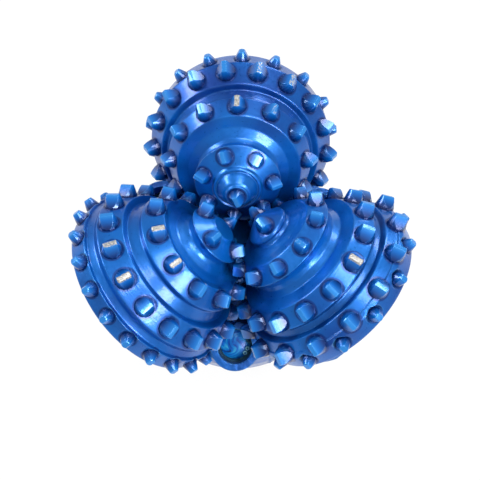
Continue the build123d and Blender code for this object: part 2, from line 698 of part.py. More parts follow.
RESERVOIR_CAP = [
    (0, -6.7),
    (0, -11.5),
    (5.0, -11.5),
    (5.0, -14.0),
    (RESERVOIR_RADIUS - 0.1, -14.0),
    (RESERVOIR_RADIUS - 0.1, -6.7),
]
DIAPHRAGM = [
    (0, -33.0),
    (9.0, -33.0),
    (12.5, -30.0),
    (14.5, -20.0),
    (14.8, -15.9),
    (RESERVOIR_RADIUS - 0.2, -15.9),
    (RESERVOIR_RADIUS - 0.2, -14.1),
    (12.8, -14.1),
    (12.5, -20.0),
    (10.8, -28.6),
    (8.2, -31.0),
    (0, -31.0),
]
NOZZLE_BODY = [
    (NOZZLE_ORIFICE_RADIUS, NOZZLE_TOP),
    (NOZZLE_POCKET_RADIUS - 2.2, NOZZLE_TOP),
    (NOZZLE_POCKET_RADIUS - 0.2, NOZZLE_TOP - 1.5),
    (NOZZLE_POCKET_RADIUS - 0.2, NOZZLE_TOP - NOZZLE_LENGTH),
    (12.5, NOZZLE_TOP - NOZZLE_LENGTH),
    (9.5, NOZZLE_TOP - NOZZLE_LENGTH + 8),
    (6.4, NOZZLE_TOP - 12),
    (NOZZLE_ORIFICE_RADIUS, NOZZLE_TOP - 8),
]
NOZZLE_SEAL_HEIGHT = NOZZLE_TOP - 15.9


def nozzle_seal():
    """O-ring round the nozzle, in its groove in the pocket's wall."""
    with BuildPart() as ring:
        with BuildSketch(NOZZLE_SECTION):
            with Locations((NOZZLE_POCKET_RADIUS + 1.1, NOZZLE_SEAL_HEIGHT)):
                Ellipse(1.2, 1.9)
        revolve(axis=NOZZLE_AXIS)
    return ring.part


def snap_ring(plane, inner, outer, height):
    """Open spring ring with two eyes for its pliers, lying in its groove."""
    with BuildPart() as ring:
        with BuildSketch(plane.offset(height)):
            Circle(outer)
            Circle(inner, mode=Mode.SUBTRACT)
            with Locations((inner - 0.6, 5.0), (inner - 0.6, -5.0)):
                Circle(3.0)
            with Locations((inner - 0.8, 5.0), (inner - 0.8, -5.0)):
                Circle(1.2, mode=Mode.SUBTRACT)
            with Locations((outer, 0)):
                Rectangle(14, 3.6, mode=Mode.SUBTRACT)
        extrude(amount=2.0)
    return ring.part


# Legs
leg = leg_forging()
with BuildPart() as leg_a:
    add(turned_to(leg, "a"))
write(leg_a.part, "leg_a")
with BuildPart() as leg_b:
    add(turned_to(leg, "b"))
write(leg_b.part, "leg_b")
with BuildPart() as leg_c:
    add(turned_to(leg, "c"))
write(leg_c.part, "leg_c")

# Cones and their inserts
for letter in ("a", "b", "c"):
    with BuildPart() as cone:
        add(turned_to(cone_shell(letter), letter))
    write(cone.part, "cone_" + letter)
    for row_name, insert, base, lean, count, first in CONE_ROWS[letter]:
        with BuildPart() as row:
            places = insert_places(base, lean, count, first)
            add(turned_to(insert_row(chisel_insert(**insert), places), letter))
        write(row.part, row_name + "_" + letter)
    with BuildPart() as compacts:
        add(turned_to(insert_row(heel_compact(), heel_places(letter)), letter))
    write(compacts.part, "heel_compacts_" + letter)

# Bearings, seals, reservoirs and nozzles, one of each for each leg
SETS = {
    "journal_bushing": around_journal(BUSHING_OUTLINE),
    "nose_bushing": around_journal(NOSE_BUSHING_OUTLINE),
    "thrust_button": around_journal(BUTTON_OUTLINE),
    "bearing_balls": bearing_balls(),
    "ball_plug": ball_plug(),
    "cone_seal": cone_seal(),
    "reservoir_cap": turned_at(RESERVOIR_SECTION, RESERVOIR_AXIS, RESERVOIR_CAP),
    "reservoir_diaphragm": turned_at(RESERVOIR_SECTION, RESERVOIR_AXIS, DIAPHRAGM),
    "nozzle": turned_at(NOZZLE_SECTION, NOZZLE_AXIS, NOZZLE_BODY),
}
for set_name, piece in SETS.items():
    for letter in ("a", "b", "c"):
        with BuildPart() as placed:
            add(turned_to(piece, letter))
        write(placed.part, set_name + "_" + letter)

# Pieces that all three legs have alike
reservoir_plane = Plane(origin=RESERVOIR_MOUTH, x_dir=(0, 1, 0), z_dir=RESERVOIR_FACING)
reservoir_ring = snap_ring(reservoir_plane, RESERVOIR_RADIUS - 2.2, RESERVOIR_RADIUS + 1.3, -6.5)
nozzle_ring = snap_ring(
    NOZZLE_PLANE, NOZZLE_POCKET_RADIUS - 2.2, NOZZLE_POCKET_RADIUS + 1.4, NOZZLE_TOP + 0.5
)
SHARED = {
    "reservoir_snap_rings": reservoir_ring,
    "nozzle_snap_rings": nozzle_ring,
    "nozzle_seals": nozzle_seal(),
    "shirttail_compacts": insert_row(heel_compact(), SHIRTTAIL_PLACES),
}
for shared_name, piece in SHARED.items():
    with BuildPart() as group:
        for letter in ("a", "b", "c"):
            add(turned_to(piece, letter))
    write(group.part, shared_name)
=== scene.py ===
# %% [markdown]
# # A tricone drill bit, dressed for its photograph
#
# The bit is packed as a CAD frame with its real sizes and joints. This lesson gives it its looks:
# smooth cones in blue enamel, carbide inserts whose crests have lost their paint, a cut thread on
# the pin, weld seams between the legs, and the bare metals and rubbers of its bearings.
# Shapes are written in millimetres and shaders in metres, both in the frame's own coordinates,
# with +Z along the bit's axis.

# %% Load the frame
import json
import math
import bmesh
import bpy
import numpy as np
from mathutils import Matrix


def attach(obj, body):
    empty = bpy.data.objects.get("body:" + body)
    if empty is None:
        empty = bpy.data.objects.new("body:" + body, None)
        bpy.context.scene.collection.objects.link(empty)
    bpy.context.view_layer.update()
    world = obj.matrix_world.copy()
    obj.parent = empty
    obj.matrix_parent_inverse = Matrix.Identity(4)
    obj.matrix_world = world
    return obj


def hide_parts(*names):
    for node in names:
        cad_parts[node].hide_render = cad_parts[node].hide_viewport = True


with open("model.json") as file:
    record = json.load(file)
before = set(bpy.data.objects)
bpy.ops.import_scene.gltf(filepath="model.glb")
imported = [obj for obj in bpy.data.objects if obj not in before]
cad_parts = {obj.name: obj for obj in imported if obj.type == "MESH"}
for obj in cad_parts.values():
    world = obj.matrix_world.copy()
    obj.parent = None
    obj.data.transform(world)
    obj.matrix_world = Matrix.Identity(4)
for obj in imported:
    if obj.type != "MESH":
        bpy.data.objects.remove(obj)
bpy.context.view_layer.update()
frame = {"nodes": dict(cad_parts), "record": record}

MM = 0.001
scene = bpy.context.scene
scene.view_settings.view_transform = "Standard"

# %% [markdown]
# ## The camera
#
# The photograph looks almost straight down on the cones. A camera could be placed by eye, but the
# rows of inserts are circles of known size, so its place was worked out from them: the distance,
# the tilt, the small roll and the focal length that bring the rows nearest to the photograph's.

# %% Camera
def placing(across, up, back, place):
    """Matrix of an object whose own directions and place are given, in metres."""
    made = np.eye(4)
    made[:3] = np.column_stack([across, up, back, place])
    return Matrix(made.tolist())


CROSSING_HEIGHT = 365.0
CAMERA_DISTANCE = 523.67
CAMERA_AZIMUTH = math.radians(0.124)
CAMERA_ELEVATION = math.radians(73.411)
CAMERA_ROLL = math.radians(3.410)
CAMERA_TARGET = np.array([0.246, -24.066, CROSSING_HEIGHT])
FOCAL_PIXELS = 695.42
PICTURE_WIDTH = 480.0

c, s = math.cos(CAMERA_AZIMUTH), math.sin(CAMERA_AZIMUTH)
flat, steep = math.cos(CAMERA_ELEVATION), math.sin(CAMERA_ELEVATION)
backwards = np.array([s * flat, -c * flat, steep])
level = np.array([c, s, 0.0])
upright = np.cross(backwards, level)
right = math.cos(CAMERA_ROLL) * level + math.sin(CAMERA_ROLL) * upright
top = -math.sin(CAMERA_ROLL) * level + math.cos(CAMERA_ROLL) * upright

camera_data = bpy.data.cameras.new("camera")
camera_data.sensor_width = 36.0
camera_data.lens = FOCAL_PIXELS / PICTURE_WIDTH * camera_data.sensor_width
camera_data.clip_start = 0.01
camera_data.clip_end = 20.0
camera = bpy.data.objects.new("camera", camera_data)
scene.collection.objects.link(camera)
eye = (CAMERA_TARGET + CAMERA_DISTANCE * backwards) * MM
camera.matrix_world = placing(right, top, backwards, eye)
scene.camera = camera
print("camera at", np.round(eye, 4), "lens", round(camera_data.lens, 2))

# %% [markdown]
# ## Floor and light
#
# The photograph is cut out on white. A white floor could be burnt out with strong lamps, but that
# would bleach the paint too. So the lamps and the sky stay plain and nearly white, and the floor
# glows for the camera and for reflections only. The rest of it is matt and keeps the bit's shadow.


# %% Node helpers
def node(tree, kind, inputs=None, **settings):
    """Adds a node and sets its properties. Each input gets its value, or a link from a socket."""
    made = tree.nodes.new(kind)
    for name, value in settings.items():
        setattr(made, name, value)
    for name, value in (inputs or {}).items():
        if isinstance(value, bpy.types.NodeSocket):
            tree.links.new(value, made.inputs[name])
        else:
            made.inputs[name].default_value = value
    return made


def new_material(name):
    """A new material, its tree and its output, which is all that the tree holds."""
    made = bpy.data.materials.new(name)
    made.use_nodes = True
    made.node_tree.nodes.clear()
    return made, made.node_tree, made.node_tree.nodes.new("ShaderNodeOutputMaterial")


# %% Floor
FLOOR_SIZE = 6.0
FLOOR_WHITE = (0.9, 0.9, 0.9, 1)
GLOW_SHARE = 0.88


def flat_floor(size):
    """Square of a given size at height zero."""
    half = size / 2
    corners = np.array([[-1, -1, 0], [1, -1, 0], [1, 1, 0], [-1, 1, 0]], float) * half
    mesh = bpy.data.meshes.new("floor")
    mesh.from_pydata(corners.tolist(), [], [(0, 1, 2, 3)])
    made = bpy.data.objects.new("floor", mesh)
    scene.collection.objects.link(made)
    return made


floor = flat_floor(FLOOR_SIZE)
floor_finish, tree, output = new_material("pale_floor")
matt = node(tree, "ShaderNodeBsdfPrincipled", {"Base Color": FLOOR_WHITE, "Roughness": 0.7})
glow = node(tree, "ShaderNodeEmission", {"Color": (1, 1, 1, 1), "Strength": 1.0})
rays = node(tree, "ShaderNodeLightPath").outputs
either = {0: rays["Is Camera Ray"], 1: rays["Is Glossy Ray"]}
seen = node(tree, "ShaderNodeMath", either, operation="MAXIMUM")
share = node(tree, "ShaderNodeMath", {0: seen.outputs[0], 1: GLOW_SHARE}, operation="MULTIPLY")
both = {0: share.outputs[0], 1: matt.outputs[0], 2: glow.outputs[0]}
tree.links.new(node(tree, "ShaderNodeMixShader", both).outputs[0], output.inputs[0])
floor.data.materials.append(floor_finish)

# %% Sky and lamps
SKY_COLOUR = (0.92, 0.96, 1.0, 1)
SKY_STRENGTH = 0.42
LAMP_AIM = np.array([0.0, 0.0, 0.35])

world = bpy.data.worlds.new("studio")
scene.world = world
world.use_nodes = True
sky = world.node_tree.nodes["Background"]
sky.inputs["Color"].default_value = SKY_COLOUR
sky.inputs["Strength"].default_value = SKY_STRENGTH


def softbox(name, place, size, watts):
    """White area lamp at a place, turned to face the bit; size is its width and height."""
    data = bpy.data.lights.new(name, "AREA")
    data.shape = "RECTANGLE"
    data.size, data.size_y = size
    data.energy = watts
    made = bpy.data.objects.new(name, data)
    away = np.array(place, float) - LAMP_AIM
    away = away / np.linalg.norm(away)
    across = np.cross([0.0, 1.0, 0.05], away)
    across = across / np.linalg.norm(across)
    made.matrix_world = placing(across, np.cross(away, across), away, place)
    scene.collection.objects.link(made)


softbox("key_light", (0.80, -0.85, 1.55), (0.60, 0.50), 22.0)
softbox("back_light", (0.55, 1.30, 1.15), (0.80, 0.40), 9.5)
softbox("left_light", (-1.30, 0.45, 1.05), (0.40, 0.70), 13.0)
softbox("top_light", (0.35, 0.05, 2.10), (0.80, 0.80), 20.0)

# %% [markdown]
# ## Surfaces from arrays
#
# Every new piece is a grid of points worked out with numpy. The grid's rows follow a profile and
# its columns go round an axis or along a path. The faces are the same table of corners for every
# grid, so one function gives them, with no loop over points.


# %% Grids
def grid_faces(rows, columns, closed_round, closed_along=False):
    """Corner numbers of the quads of a grid whose point (i, j) has the number i * columns + j."""
    i = np.arange(rows if closed_along else rows - 1)
    j = np.arange(columns if closed_round else columns - 1)
    i, j = np.meshgrid(i, j, indexing="ij")
    i_next = (i + 1) % rows
    j_next = (j + 1) % columns
    corners = [i * columns + j, i * columns + j_next]
    corners += [i_next * columns + j_next, i_next * columns + j]
    return np.stack(corners, axis=-1).reshape(-1, 4)


def make_piece(name, points, faces, body, material, slot, sharp=None, maps=None, marks=None):
    """Puts points in mm and quads into a mesh, merges the poles, and lets it ride on its body.

    maps holds one (u, v) for each corner of each quad, and marks holds named arrays with one
    number for each point, such as how far it is worn. Edges that turn by more than sharp degrees
    are shaded as edges."""
    mesh = bpy.data.meshes.new(name)
    mesh.from_pydata((points * MM).tolist(), [], faces.tolist())
    if maps is not None:
        layer = mesh.uv_layers.new(name="surface")
        layer.data.foreach_set("uv", maps.reshape(-1).astype(np.float32))
    for mark, numbers in (marks or {}).items():
        attribute = mesh.attributes.new(mark, "FLOAT", "POINT")
        attribute.data.foreach_set("value", numbers.astype(np.float32))
    mesh.validate()
    tidy = bmesh.new()
    tidy.from_mesh(mesh)
    bmesh.ops.remove_doubles(tidy, verts=tidy.verts, dist=2e-6)
    bmesh.ops.recalc_face_normals(tidy, faces=tidy.faces)
    tidy.to_mesh(mesh)
    tidy.free()
    mesh.polygons.foreach_set("use_smooth", np.ones(len(mesh.polygons), bool))
    if sharp is not None:
        mesh.set_sharp_from_angle(angle=math.radians(sharp))
    mesh.materials.append(material)
    mesh.update()
    made = bpy.data.objects.new(name, mesh)
    scene.collection.objects.link(made)
    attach(made, body)
    return made


# %% [markdown]
# ## The paint
#
# The whole bit is sprayed with a glossy blue enamel after it is assembled. The enamel pulls thin
# over the edges, and it shows the skin of the steel below: smooth turned lands on the cones, and
# forged or ground steel on the legs. It could be one blue shader, but a single colour looks like
# plastic. So the colour drifts a little, the corners and hollows are darkened with painted shade,
# the edges are lighter, partly thin enamel and partly a painted highlight, the gloss is uneven, the
# edges catch the light as a rounded edge does, and a clear coat lies over it all.

# %% Paint
DEEP_BLUE = (0.0, 0.042, 0.26, 1)
FULL_BLUE = (0.0, 0.128, 0.49, 1)
# Lighter blue for edges, partly enamel worn thin and partly a painted highlight.
EDGE_WEAR_AND_HIGHLIGHT_BLUE = (0.09, 0.40, 0.82, 1)
# Painted shade, for hollows and for the feet of the inserts.
SHADE_NAVY = (0.0, 0.014, 0.10, 1)
# Painted shade round the feet of the inserts.
SPOT_SHADE_BLUE = (0.0, 0.030, 0.19, 1)
# Painted shade low on the inserts.
FOOT_SHADE_BLUE = (0.0, 0.036, 0.19, 1)
# Lighter blue at the crests, partly thin enamel and partly a painted highlight.
CREST_THIN_AND_LIT_BLUE = (0.015, 0.20, 0.58, 1)


def ramp(tree, source, stops):
    """Colour ramp with the given (position, colour) stops."""
    made = tree.nodes.new("ShaderNodeValToRGB")
    elements = made.color_ramp.elements
    while len(elements) > len(stops):
        elements.remove(elements[-1])
    while len(elements) < len(stops):
        elements.new(1.0)
    for element, (position, colour) in zip(elements, stops):
        element.position = position
        element.color = colour
    tree.links.new(source, made.inputs[0])
    return made.outputs[0]


def noise(tree, coordinates, scale, detail=3.0, roughness=0.5, distortion=0.0):
    """Noise of so many grains per metre on the given coordinates."""
    inputs = {"Vector": coordinates, "Scale": scale, "Detail": detail}
    inputs |= {"Roughness": roughness, "Distortion": distortion}
    return node(tree, "ShaderNodeTexNoise", inputs).outputs["Fac"]


def span(tree, source, low, high, from_low=0.0, from_high=1.0):
    """Number carried from one range to another and kept inside it."""
    inputs = {"Value": source, "From Min": from_low, "From Max": from_high}
    inputs |= {"To Min": low, "To Max": high}
    return node(tree, "ShaderNodeMapRange", inputs).outputs["Result"]


def mixed(tree, share, first, second):
    """Colour between two colours or sockets."""
    inputs = {0: share, 6: first, 7: second}
    return node(tree, "ShaderNodeMix", inputs, data_type="RGBA").outputs[2]


def combined(tree, operation, first, second):
    """Arithmetic on two numbers or sockets."""
    return node(tree, "ShaderNodeMath", {0: first, 1: second}, operation=operation).outputs[0]


def bump(tree, height, strength, distance, normal=None):
    """Bump of a given greatest height in metres, on the surface's own normal or another."""
    inputs = {"Strength": strength, "Distance": distance, "Height": height}
    if normal is not None:
        inputs["Normal"] = normal
    return node(tree, "ShaderNodeBump", inputs).outputs[0]


def rounded_edges(tree, radius):
    """Normal of an edge that is rounded by a radius, and how far it turns from the flat face."""
    softened = node(tree, "ShaderNodeBevel", {"Radius": radius}, samples=4).outputs[0]
    flat = node(tree, "ShaderNodeNewGeometry").outputs["True Normal"]
    turn = node(tree, "ShaderNodeVectorMath", {0: softened, 1: flat}, operation="DOT_PRODUCT")
    return softened, span(tree, turn.outputs["Value"], 1.0, 0.0, 0.75, 0.995)


def plain_at(tree, share, normal):
    """The surface's own normal where share is 1, and the given one where it is 0."""
    own = node(tree, "ShaderNodeNewGeometry").outputs["Normal"]
    inputs = {0: share, 4: normal, 5: own}
    return node(tree, "ShaderNodeMix", inputs, data_type="VECTOR").outputs[1]


def object_place(tree):
    """Object coordinates of the surface."""
    return node(tree, "ShaderNodeTexCoord").outputs["Object"]


def piece_map(tree, scale):
    """The piece's own map, stretched by scale."""
    own = node(tree, "ShaderNodeUVMap", uv_map="surface").outputs[0]
    return node(tree, "ShaderNodeMapping", {"Vector": own, "Scale": scale}).outputs[0]


def principled(tree, settings, colour, roughness, normal, coated=False):
    """Shader with fixed settings and three sockets. A clear coat gets the normal too."""
    inputs = settings | {"Base Color": colour, "Roughness": roughness, "Normal": normal}
    if coated:
        inputs["Coat Normal"] = normal
    return node(tree, "ShaderNodeBsdfPrincipled", inputs).outputs[0]


# %% Painted forging and painted cone
ENAMEL = {"Metallic": 0.55, "IOR": 1.52}
ENAMEL |= {"Coat Weight": 0.40, "Coat Roughness": 0.08, "Coat IOR": 1.45}


def enamel(tree, grain_height, edge_radius, turned_marks=False, lumps=0.0):
    """Blue enamel over steel. turned_marks adds the fine rings that a lathe leaves, which follow
    the piece's own map: u goes along the profile in metres and v once round. The other numbers are
    metres: the steel's grain, the rounding of edges, and a forging's uneven skin."""
    place = object_place(tree)
    edge_normal, edge = rounded_edges(tree, edge_radius)
    drift = noise(tree, place, 16.0, 4.0)
    colour = ramp(tree, drift, [(0.32, DEEP_BLUE), (0.60, FULL_BLUE)])
    # Painted shade: the colour is darkened towards navy in corners and hollows, by ambient
    # occlusion.
    hollow_shade = node(tree, "ShaderNodeAmbientOcclusion", {"Distance": 0.012}, samples=8)
    depth = span(tree, hollow_shade.outputs["AO"], 0.85, 0.0, 0.25, 0.80)
    colour = mixed(tree, depth, colour, SHADE_NAVY)
    # Painted shade: the enamel is darkened round each insert's foot, by the cone's spot number.
    spot_shade = node(tree, "ShaderNodeAttribute", attribute_name="spot_shade").outputs["Fac"]
    spot_shade = span(tree, spot_shade, 0.0, 1.0, 0.44, 0.53)
    colour = mixed(tree, combined(tree, "MULTIPLY", spot_shade, 0.80), colour, SPOT_SHADE_BLUE)
    # Edges are lighter in patches: partly enamel worn thin, partly a painted highlight.
    patches = span(tree, noise(tree, place, 160.0, 3.0), 0.35, 1.0, 0.3, 0.6)
    colour = mixed(tree, combined(tree, "MULTIPLY", edge, patches), colour, EDGE_WEAR_AND_HIGHLIGHT_BLUE)
    grain = noise(tree, place, 420.0, 4.0, 0.6)
    peel = noise(tree, place, 120.0, 2.0)
    edge_normal = plain_at(tree, spot_shade, edge_normal)
    normal = bump(tree, grain, 0.30, grain_height, edge_normal)
    normal = bump(tree, peel, 0.35, 0.00022, normal)
    if lumps:
        normal = bump(tree, noise(tree, place, 150.0, 2.0, 0.50), 0.8, lumps, normal)
    if turned_marks:
        marks = noise(tree, piece_map(tree, (900.0, 6.0, 1.0)), 1.0, 4.0)
        normal = bump(tree, marks, 0.50, 0.00014, normal)
    gloss = span(tree, grain, 0.26, 0.44, 0.3, 0.7)
    return principled(tree, ENAMEL, colour, gloss, normal, coated=True)


cone_paint, tree, output = new_material("cone_paint")
painted = enamel(tree, grain_height=0.00008, edge_radius=0.0009, turned_marks=True)
tree.links.new(painted, output.inputs[0])

# %% [markdown]
# ## The legs' finish
#
# A leg is one forging from its journal down to its third of the pin. Above the shoulder it is
# painted. The pin is left bare, with a dark phosphate skin that holds the thread grease. Two
# materials could be given to two pieces, but the forging is one solid, so one material changes
# from enamel to phosphate at the shoulder's height, with a ragged edge where the spray stopped.

# %% Painted leg with a bare pin
SHOULDER_HEIGHT = 127.0
SPRAY_LIMIT = (SHOULDER_HEIGHT + 0.6) * MM
PHOSPHATE = [(0.32, (0.018, 0.017, 0.016, 1)), (0.70, (0.075, 0.071, 0.066, 1))]


def leg_finish():
    """Enamel above the shoulder and phosphated steel below it."""
    made, tree, output = new_material("body_paint")
    painted = enamel(tree, grain_height=0.00018, edge_radius=0.0018, lumps=0.0009)
    place = object_place(tree)
    height = node(tree, "ShaderNodeSeparateXYZ", {0: place}).outputs["Z"]
    blotches = noise(tree, place, 35.0, 5.0, 0.6)
    colour = ramp(tree, blotches, PHOSPHATE)
    gloss = span(tree, blotches, 0.38, 0.62)
    normal = bump(tree, noise(tree, place, 900.0, 2.0), 0.4, 0.00008)
    bare = principled(tree, {"Metallic": 0.75, "IOR": 2.2}, colour, gloss, normal)
    ragged = combined(tree, "MULTIPLY", noise(tree, place, 90.0, 3.0), 0.0022)
    height = combined(tree, "ADD", height, ragged)
    share = span(tree, height, 0.0, 1.0, SPRAY_LIMIT, SPRAY_LIMIT + 0.0004)
    both = node(tree, "ShaderNodeMixShader", {0: share, 1: bare, 2: painted})
    tree.links.new(both.outputs[0], output.inputs[0])
    return made


body_paint = leg_finish()

# %% [markdown]
# ## Carbide
#
# The inserts were painted with everything else. Handling has rubbed the enamel off their crests,
# where the grey sintered carbide shows, a little warm and matt like fine stone. A mask painted by
# hand would not survive a change of shape, so each insert carries a wear number on its points that
# rises to the crest, and the finish breaks it up with noise into a chipped edge.


# %% Painted carbide
# Enamel on the heads by height: painted shade at the foot, lighter towards the crest, partly thin
# enamel and partly a painted highlight.
CARBIDE_PAINT_AND_SHADE = [(0.08, SHADE_NAVY), (0.30, FOOT_SHADE_BLUE), (0.75, FULL_BLUE), (0.98, CREST_THIN_AND_LIT_BLUE)]
CARBIDE = [(0.36, (0.13, 0.125, 0.12, 1)), (0.66, (0.56, 0.54, 0.50, 1))]


def painted_carbide_finish():
    """Enamel where the wear is low, bare carbide where it is high.

    The tip number is 0 at the land and 1 at the crest: it sets a painted shade that is darkest at
    the foot, and the enamel turns lighter towards the crest, partly thin and partly a painted
    highlight."""
    made, tree, output = new_material("painted_carbide")
    place = object_place(tree)
    edge_normal, edge = rounded_edges(tree, 0.0003)
    wear = node(tree, "ShaderNodeAttribute", attribute_name="wear").outputs["Fac"]
    tip = node(tree, "ShaderNodeAttribute", attribute_name="tip").outputs["Fac"]
    chips = noise(tree, place, 900.0, 4.0, 0.65)
    broken = combined(tree, "ADD", wear, span(tree, chips, -0.42, 0.42))
    broken = combined(tree, "ADD", broken, combined(tree, "MULTIPLY", edge, 0.10))
    bare = span(tree, broken, 0.0, 1.0, 0.55, 0.66)
    # The tip number sets the painted shade: dark at the foot, lighter up to the crest.
    drift = combined(tree, "ADD", tip, span(tree, noise(tree, place, 60.0, 3.0), -0.12, 0.12))
    paint = ramp(tree, drift, CARBIDE_PAINT_AND_SHADE)
    # The heads' edges are lighter, partly worn paint and partly a painted highlight.
    paint = mixed(tree, combined(tree, "MULTIPLY", edge, 0.75), paint, EDGE_WEAR_AND_HIGHLIGHT_BLUE)
    colour = mixed(tree, bare, paint, ramp(tree, chips, CARBIDE))
    edge_normal = plain_at(tree, span(tree, tip, 1.0, 0.0, 0.10, 0.22), edge_normal)
    normal = bump(tree, chips, 0.30, 0.00012, edge_normal)
    settings = {"Metallic": 0.36, "IOR": 1.52, "Coat Weight": 0.50, "Coat Roughness": 0.14}
    gloss = span(tree, bare, 0.27, 0.42)
    shader = principled(tree, settings, colour, gloss, normal, coated=True)
    tree.links.new(shader, output.inputs[0])
    return made


painted_carbide = painted_carbide_finish()

# %% [markdown]
# ## Bare metals and rubbers
#
# The bearings, plugs, rings and seals are seen only from close by or when the bit comes apart.
# They still get their own finishes: each is a metal or a rubber with a colour that drifts, an
# uneven gloss and a fine grain, and only their numbers differ.


# %% Metals and rubbers
def plain_finish(name, dark, light, metallic, gloss, grain, height, streaks=0.0):
    """Metal or rubber whose colour drifts between dark and light and whose roughness lies in gloss.

    Streaks twist the colour's drift, as in spray that has run together."""
    made, tree, output = new_material(name)
    dark, light = (*dark, 1), (*light, 1)
    place = object_place(tree)
    edge_normal, edge = rounded_edges(tree, 0.0004)
    blotches = noise(tree, place, grain * 0.12, 4.0, 0.6, streaks)
    fine = noise(tree, place, grain, 3.0)
    colour = ramp(tree, blotches, [(0.34, dark), (0.66, light)])
    # Rounded edges are lighter: a painted edge highlight.
    colour = mixed(tree, combined(tree, "MULTIPLY", edge, 0.35), colour, light)
    roughness = span(tree, fine, *gloss, 0.3, 0.7)
    normal = bump(tree, fine, 0.35, height, edge_normal)
    shader = principled(tree, {"Metallic": metallic, "IOR": 1.5}, colour, roughness, normal)
    tree.links.new(shader, output.inputs[0])
    return made


# Dark and light colour, metallic, least and most roughness, grains a metre, their height, streaks
FINISHES = {
    "bearing_bronze": ((0.36, 0.17, 0.06), (0.60, 0.33, 0.13), 0.9, (0.25, 0.40), 700.0, 4e-5),
    "bearing_steel": ((0.40, 0.41, 0.42), (0.62, 0.63, 0.64), 0.95, (0.12, 0.24), 600.0, 2e-5),
    "plug_steel": ((0.20, 0.20, 0.21), (0.38, 0.38, 0.38), 0.85, (0.35, 0.55), 500.0, 8e-5),
    "seal_rubber": ((0.01, 0.01, 0.011), (0.03, 0.03, 0.032), 0.0, (0.40, 0.60), 800.0, 4e-5),
    "diaphragm_rubber": ((0.012, 0.011, 0.01), (0.035, 0.033, 0.03), 0.0, (0.5, 0.7), 700.0, 5e-5),
    "cap_steel": ((0.0, 0.05, 0.24), (0.0, 0.15, 0.50), 0.45, (0.28, 0.45), 500.0, 5e-5),
    "spring_steel": ((0.0, 0.016, 0.045), (0.01, 0.075, 0.12), 0.60, (0.25, 0.40), 500.0, 3e-5),
    "thread_steel": ((0.02, 0.019, 0.018), (0.09, 0.086, 0.08), 0.75, (0.34, 0.56), 500.0, 8e-5),
    "nozzle_carbide": ((0.0, 0.06, 0.3), (0.01, 0.3, 0.52), 0.25, (0.20, 0.35), 420.0, 9e-5, 2.6),
    "ring_eye": ((0.08, 0.36, 0.46), (0.34, 0.76, 0.86), 0.30, (0.18, 0.30), 500.0, 3e-5),
    "heel_carbide": ((0.0, 0.08, 0.34), (0.01, 0.20, 0.58), 0.50, (0.16, 0.30), 420.0, 5e-5),
}
finish = {name: plain_finish(name, *numbers) for name, numbers in FINISHES.items()}
finish |= {"body_paint": body_paint, "cone_paint": cone_paint}
finish["painted_carbide"] = painted_carbide
print("finishes:", ", ".join(sorted(finish)))

# %% [markdown]
# ## Where a cone is
#
# Each cone turns on a journal that points in and up from its leg. The three are alike but for
# their place round the bit, so one function gives the directions of a journal's own frame:
# outwards along the journal, up across it towards the hole bottom, and sideways.

# %% Journal frames
JOURNAL_ANGLE = math.radians(34.3)
CONE_OFFSET = 4.45
LEG_AZIMUTH = {"a": 90.0, "b": 210.0, "c": 330.0}
SIN, COS = math.sin(JOURNAL_ANGLE), math.cos(JOURNAL_ANGLE)


def journal_frame(letter):
    """Origin on the journal where it passes the bit's axis, and its three directions."""
    turn = math.radians(LEG_AZIMUTH[letter])
    c, s = math.cos(turn), math.sin(turn)
    side = np.array([-s, c, 0.0])
    origin = CONE_OFFSET * side + np.array([0.0, 0.0, CROSSING_HEIGHT])
    out = np.array([c * COS, s * COS, -SIN])
    up = np.array([c * SIN, s * SIN, COS])
    return origin, out, up, side


def on_cone(radius, height):
    """(t, rho) of a point given by its radius from the bit's axis and height over the crossing."""
    return (radius * COS - height * SIN, radius * SIN + height * COS)


def leaning(tilt):
    """Direction (t, rho) that leans by tilt degrees from straight up towards the bit's axis."""
    return on_cone(-math.sin(math.radians(tilt)), math.cos(math.radians(tilt)))


# %% [markdown]
# ## Profiles
#
# A cone is turned on a lathe from one profile: a land under each row of inserts, and a groove
# between the rows that the neighbouring cone's inserts pass through. The corners were broken and
# the enamel rounds them further, so the profile's corners are rounded before it is turned.


# %% Rounded profiles
def rounded(points, radius, steps=4):
    """Replaces each inner corner of an open line by a curve that touches both of its sides.

    The curve is a parabola through the corner's two sides, cut back by the radius or by under
    half of the shorter side."""
    points = np.array(points, float)
    before = points[:-2] - points[1:-1]
    after = points[2:] - points[1:-1]
    first = np.linalg.norm(before, axis=1, keepdims=True)
    second = np.linalg.norm(after, axis=1, keepdims=True)
    cut = np.minimum(radius, 0.45 * np.minimum(first, second))
    start = points[1:-1] + before / first * cut
    end = points[1:-1] + after / second * cut
    s = np.linspace(0, 1, steps)[None, :, None]
    corner = points[1:-1, None]
    curve = (1 - s) ** 2 * start[:, None] + 2 * s * (1 - s) * corner + s**2 * end[:, None]
    return np.vstack([points[:1], curve.reshape(-1, 2), points[-1:]])


def divided(points, longest):
    """Adds points to a line so that no step is longer than longest."""
    points = np.array(points, float)
    steps = np.linalg.norm(np.diff(points, axis=0), axis=1)
    length = np.concatenate([[0.0], np.cumsum(steps)])
    counts = np.maximum(1, np.ceil(steps / longest).astype(int))
    marks = [np.linspace(length[k], length[k + 1], n, endpoint=False) for k, n in enumerate(counts)]
    marks = np.concatenate(marks + [length[-1:]])
    return np.column_stack([np.interp(marks, length, points[:, k]) for k in (0, 1)])


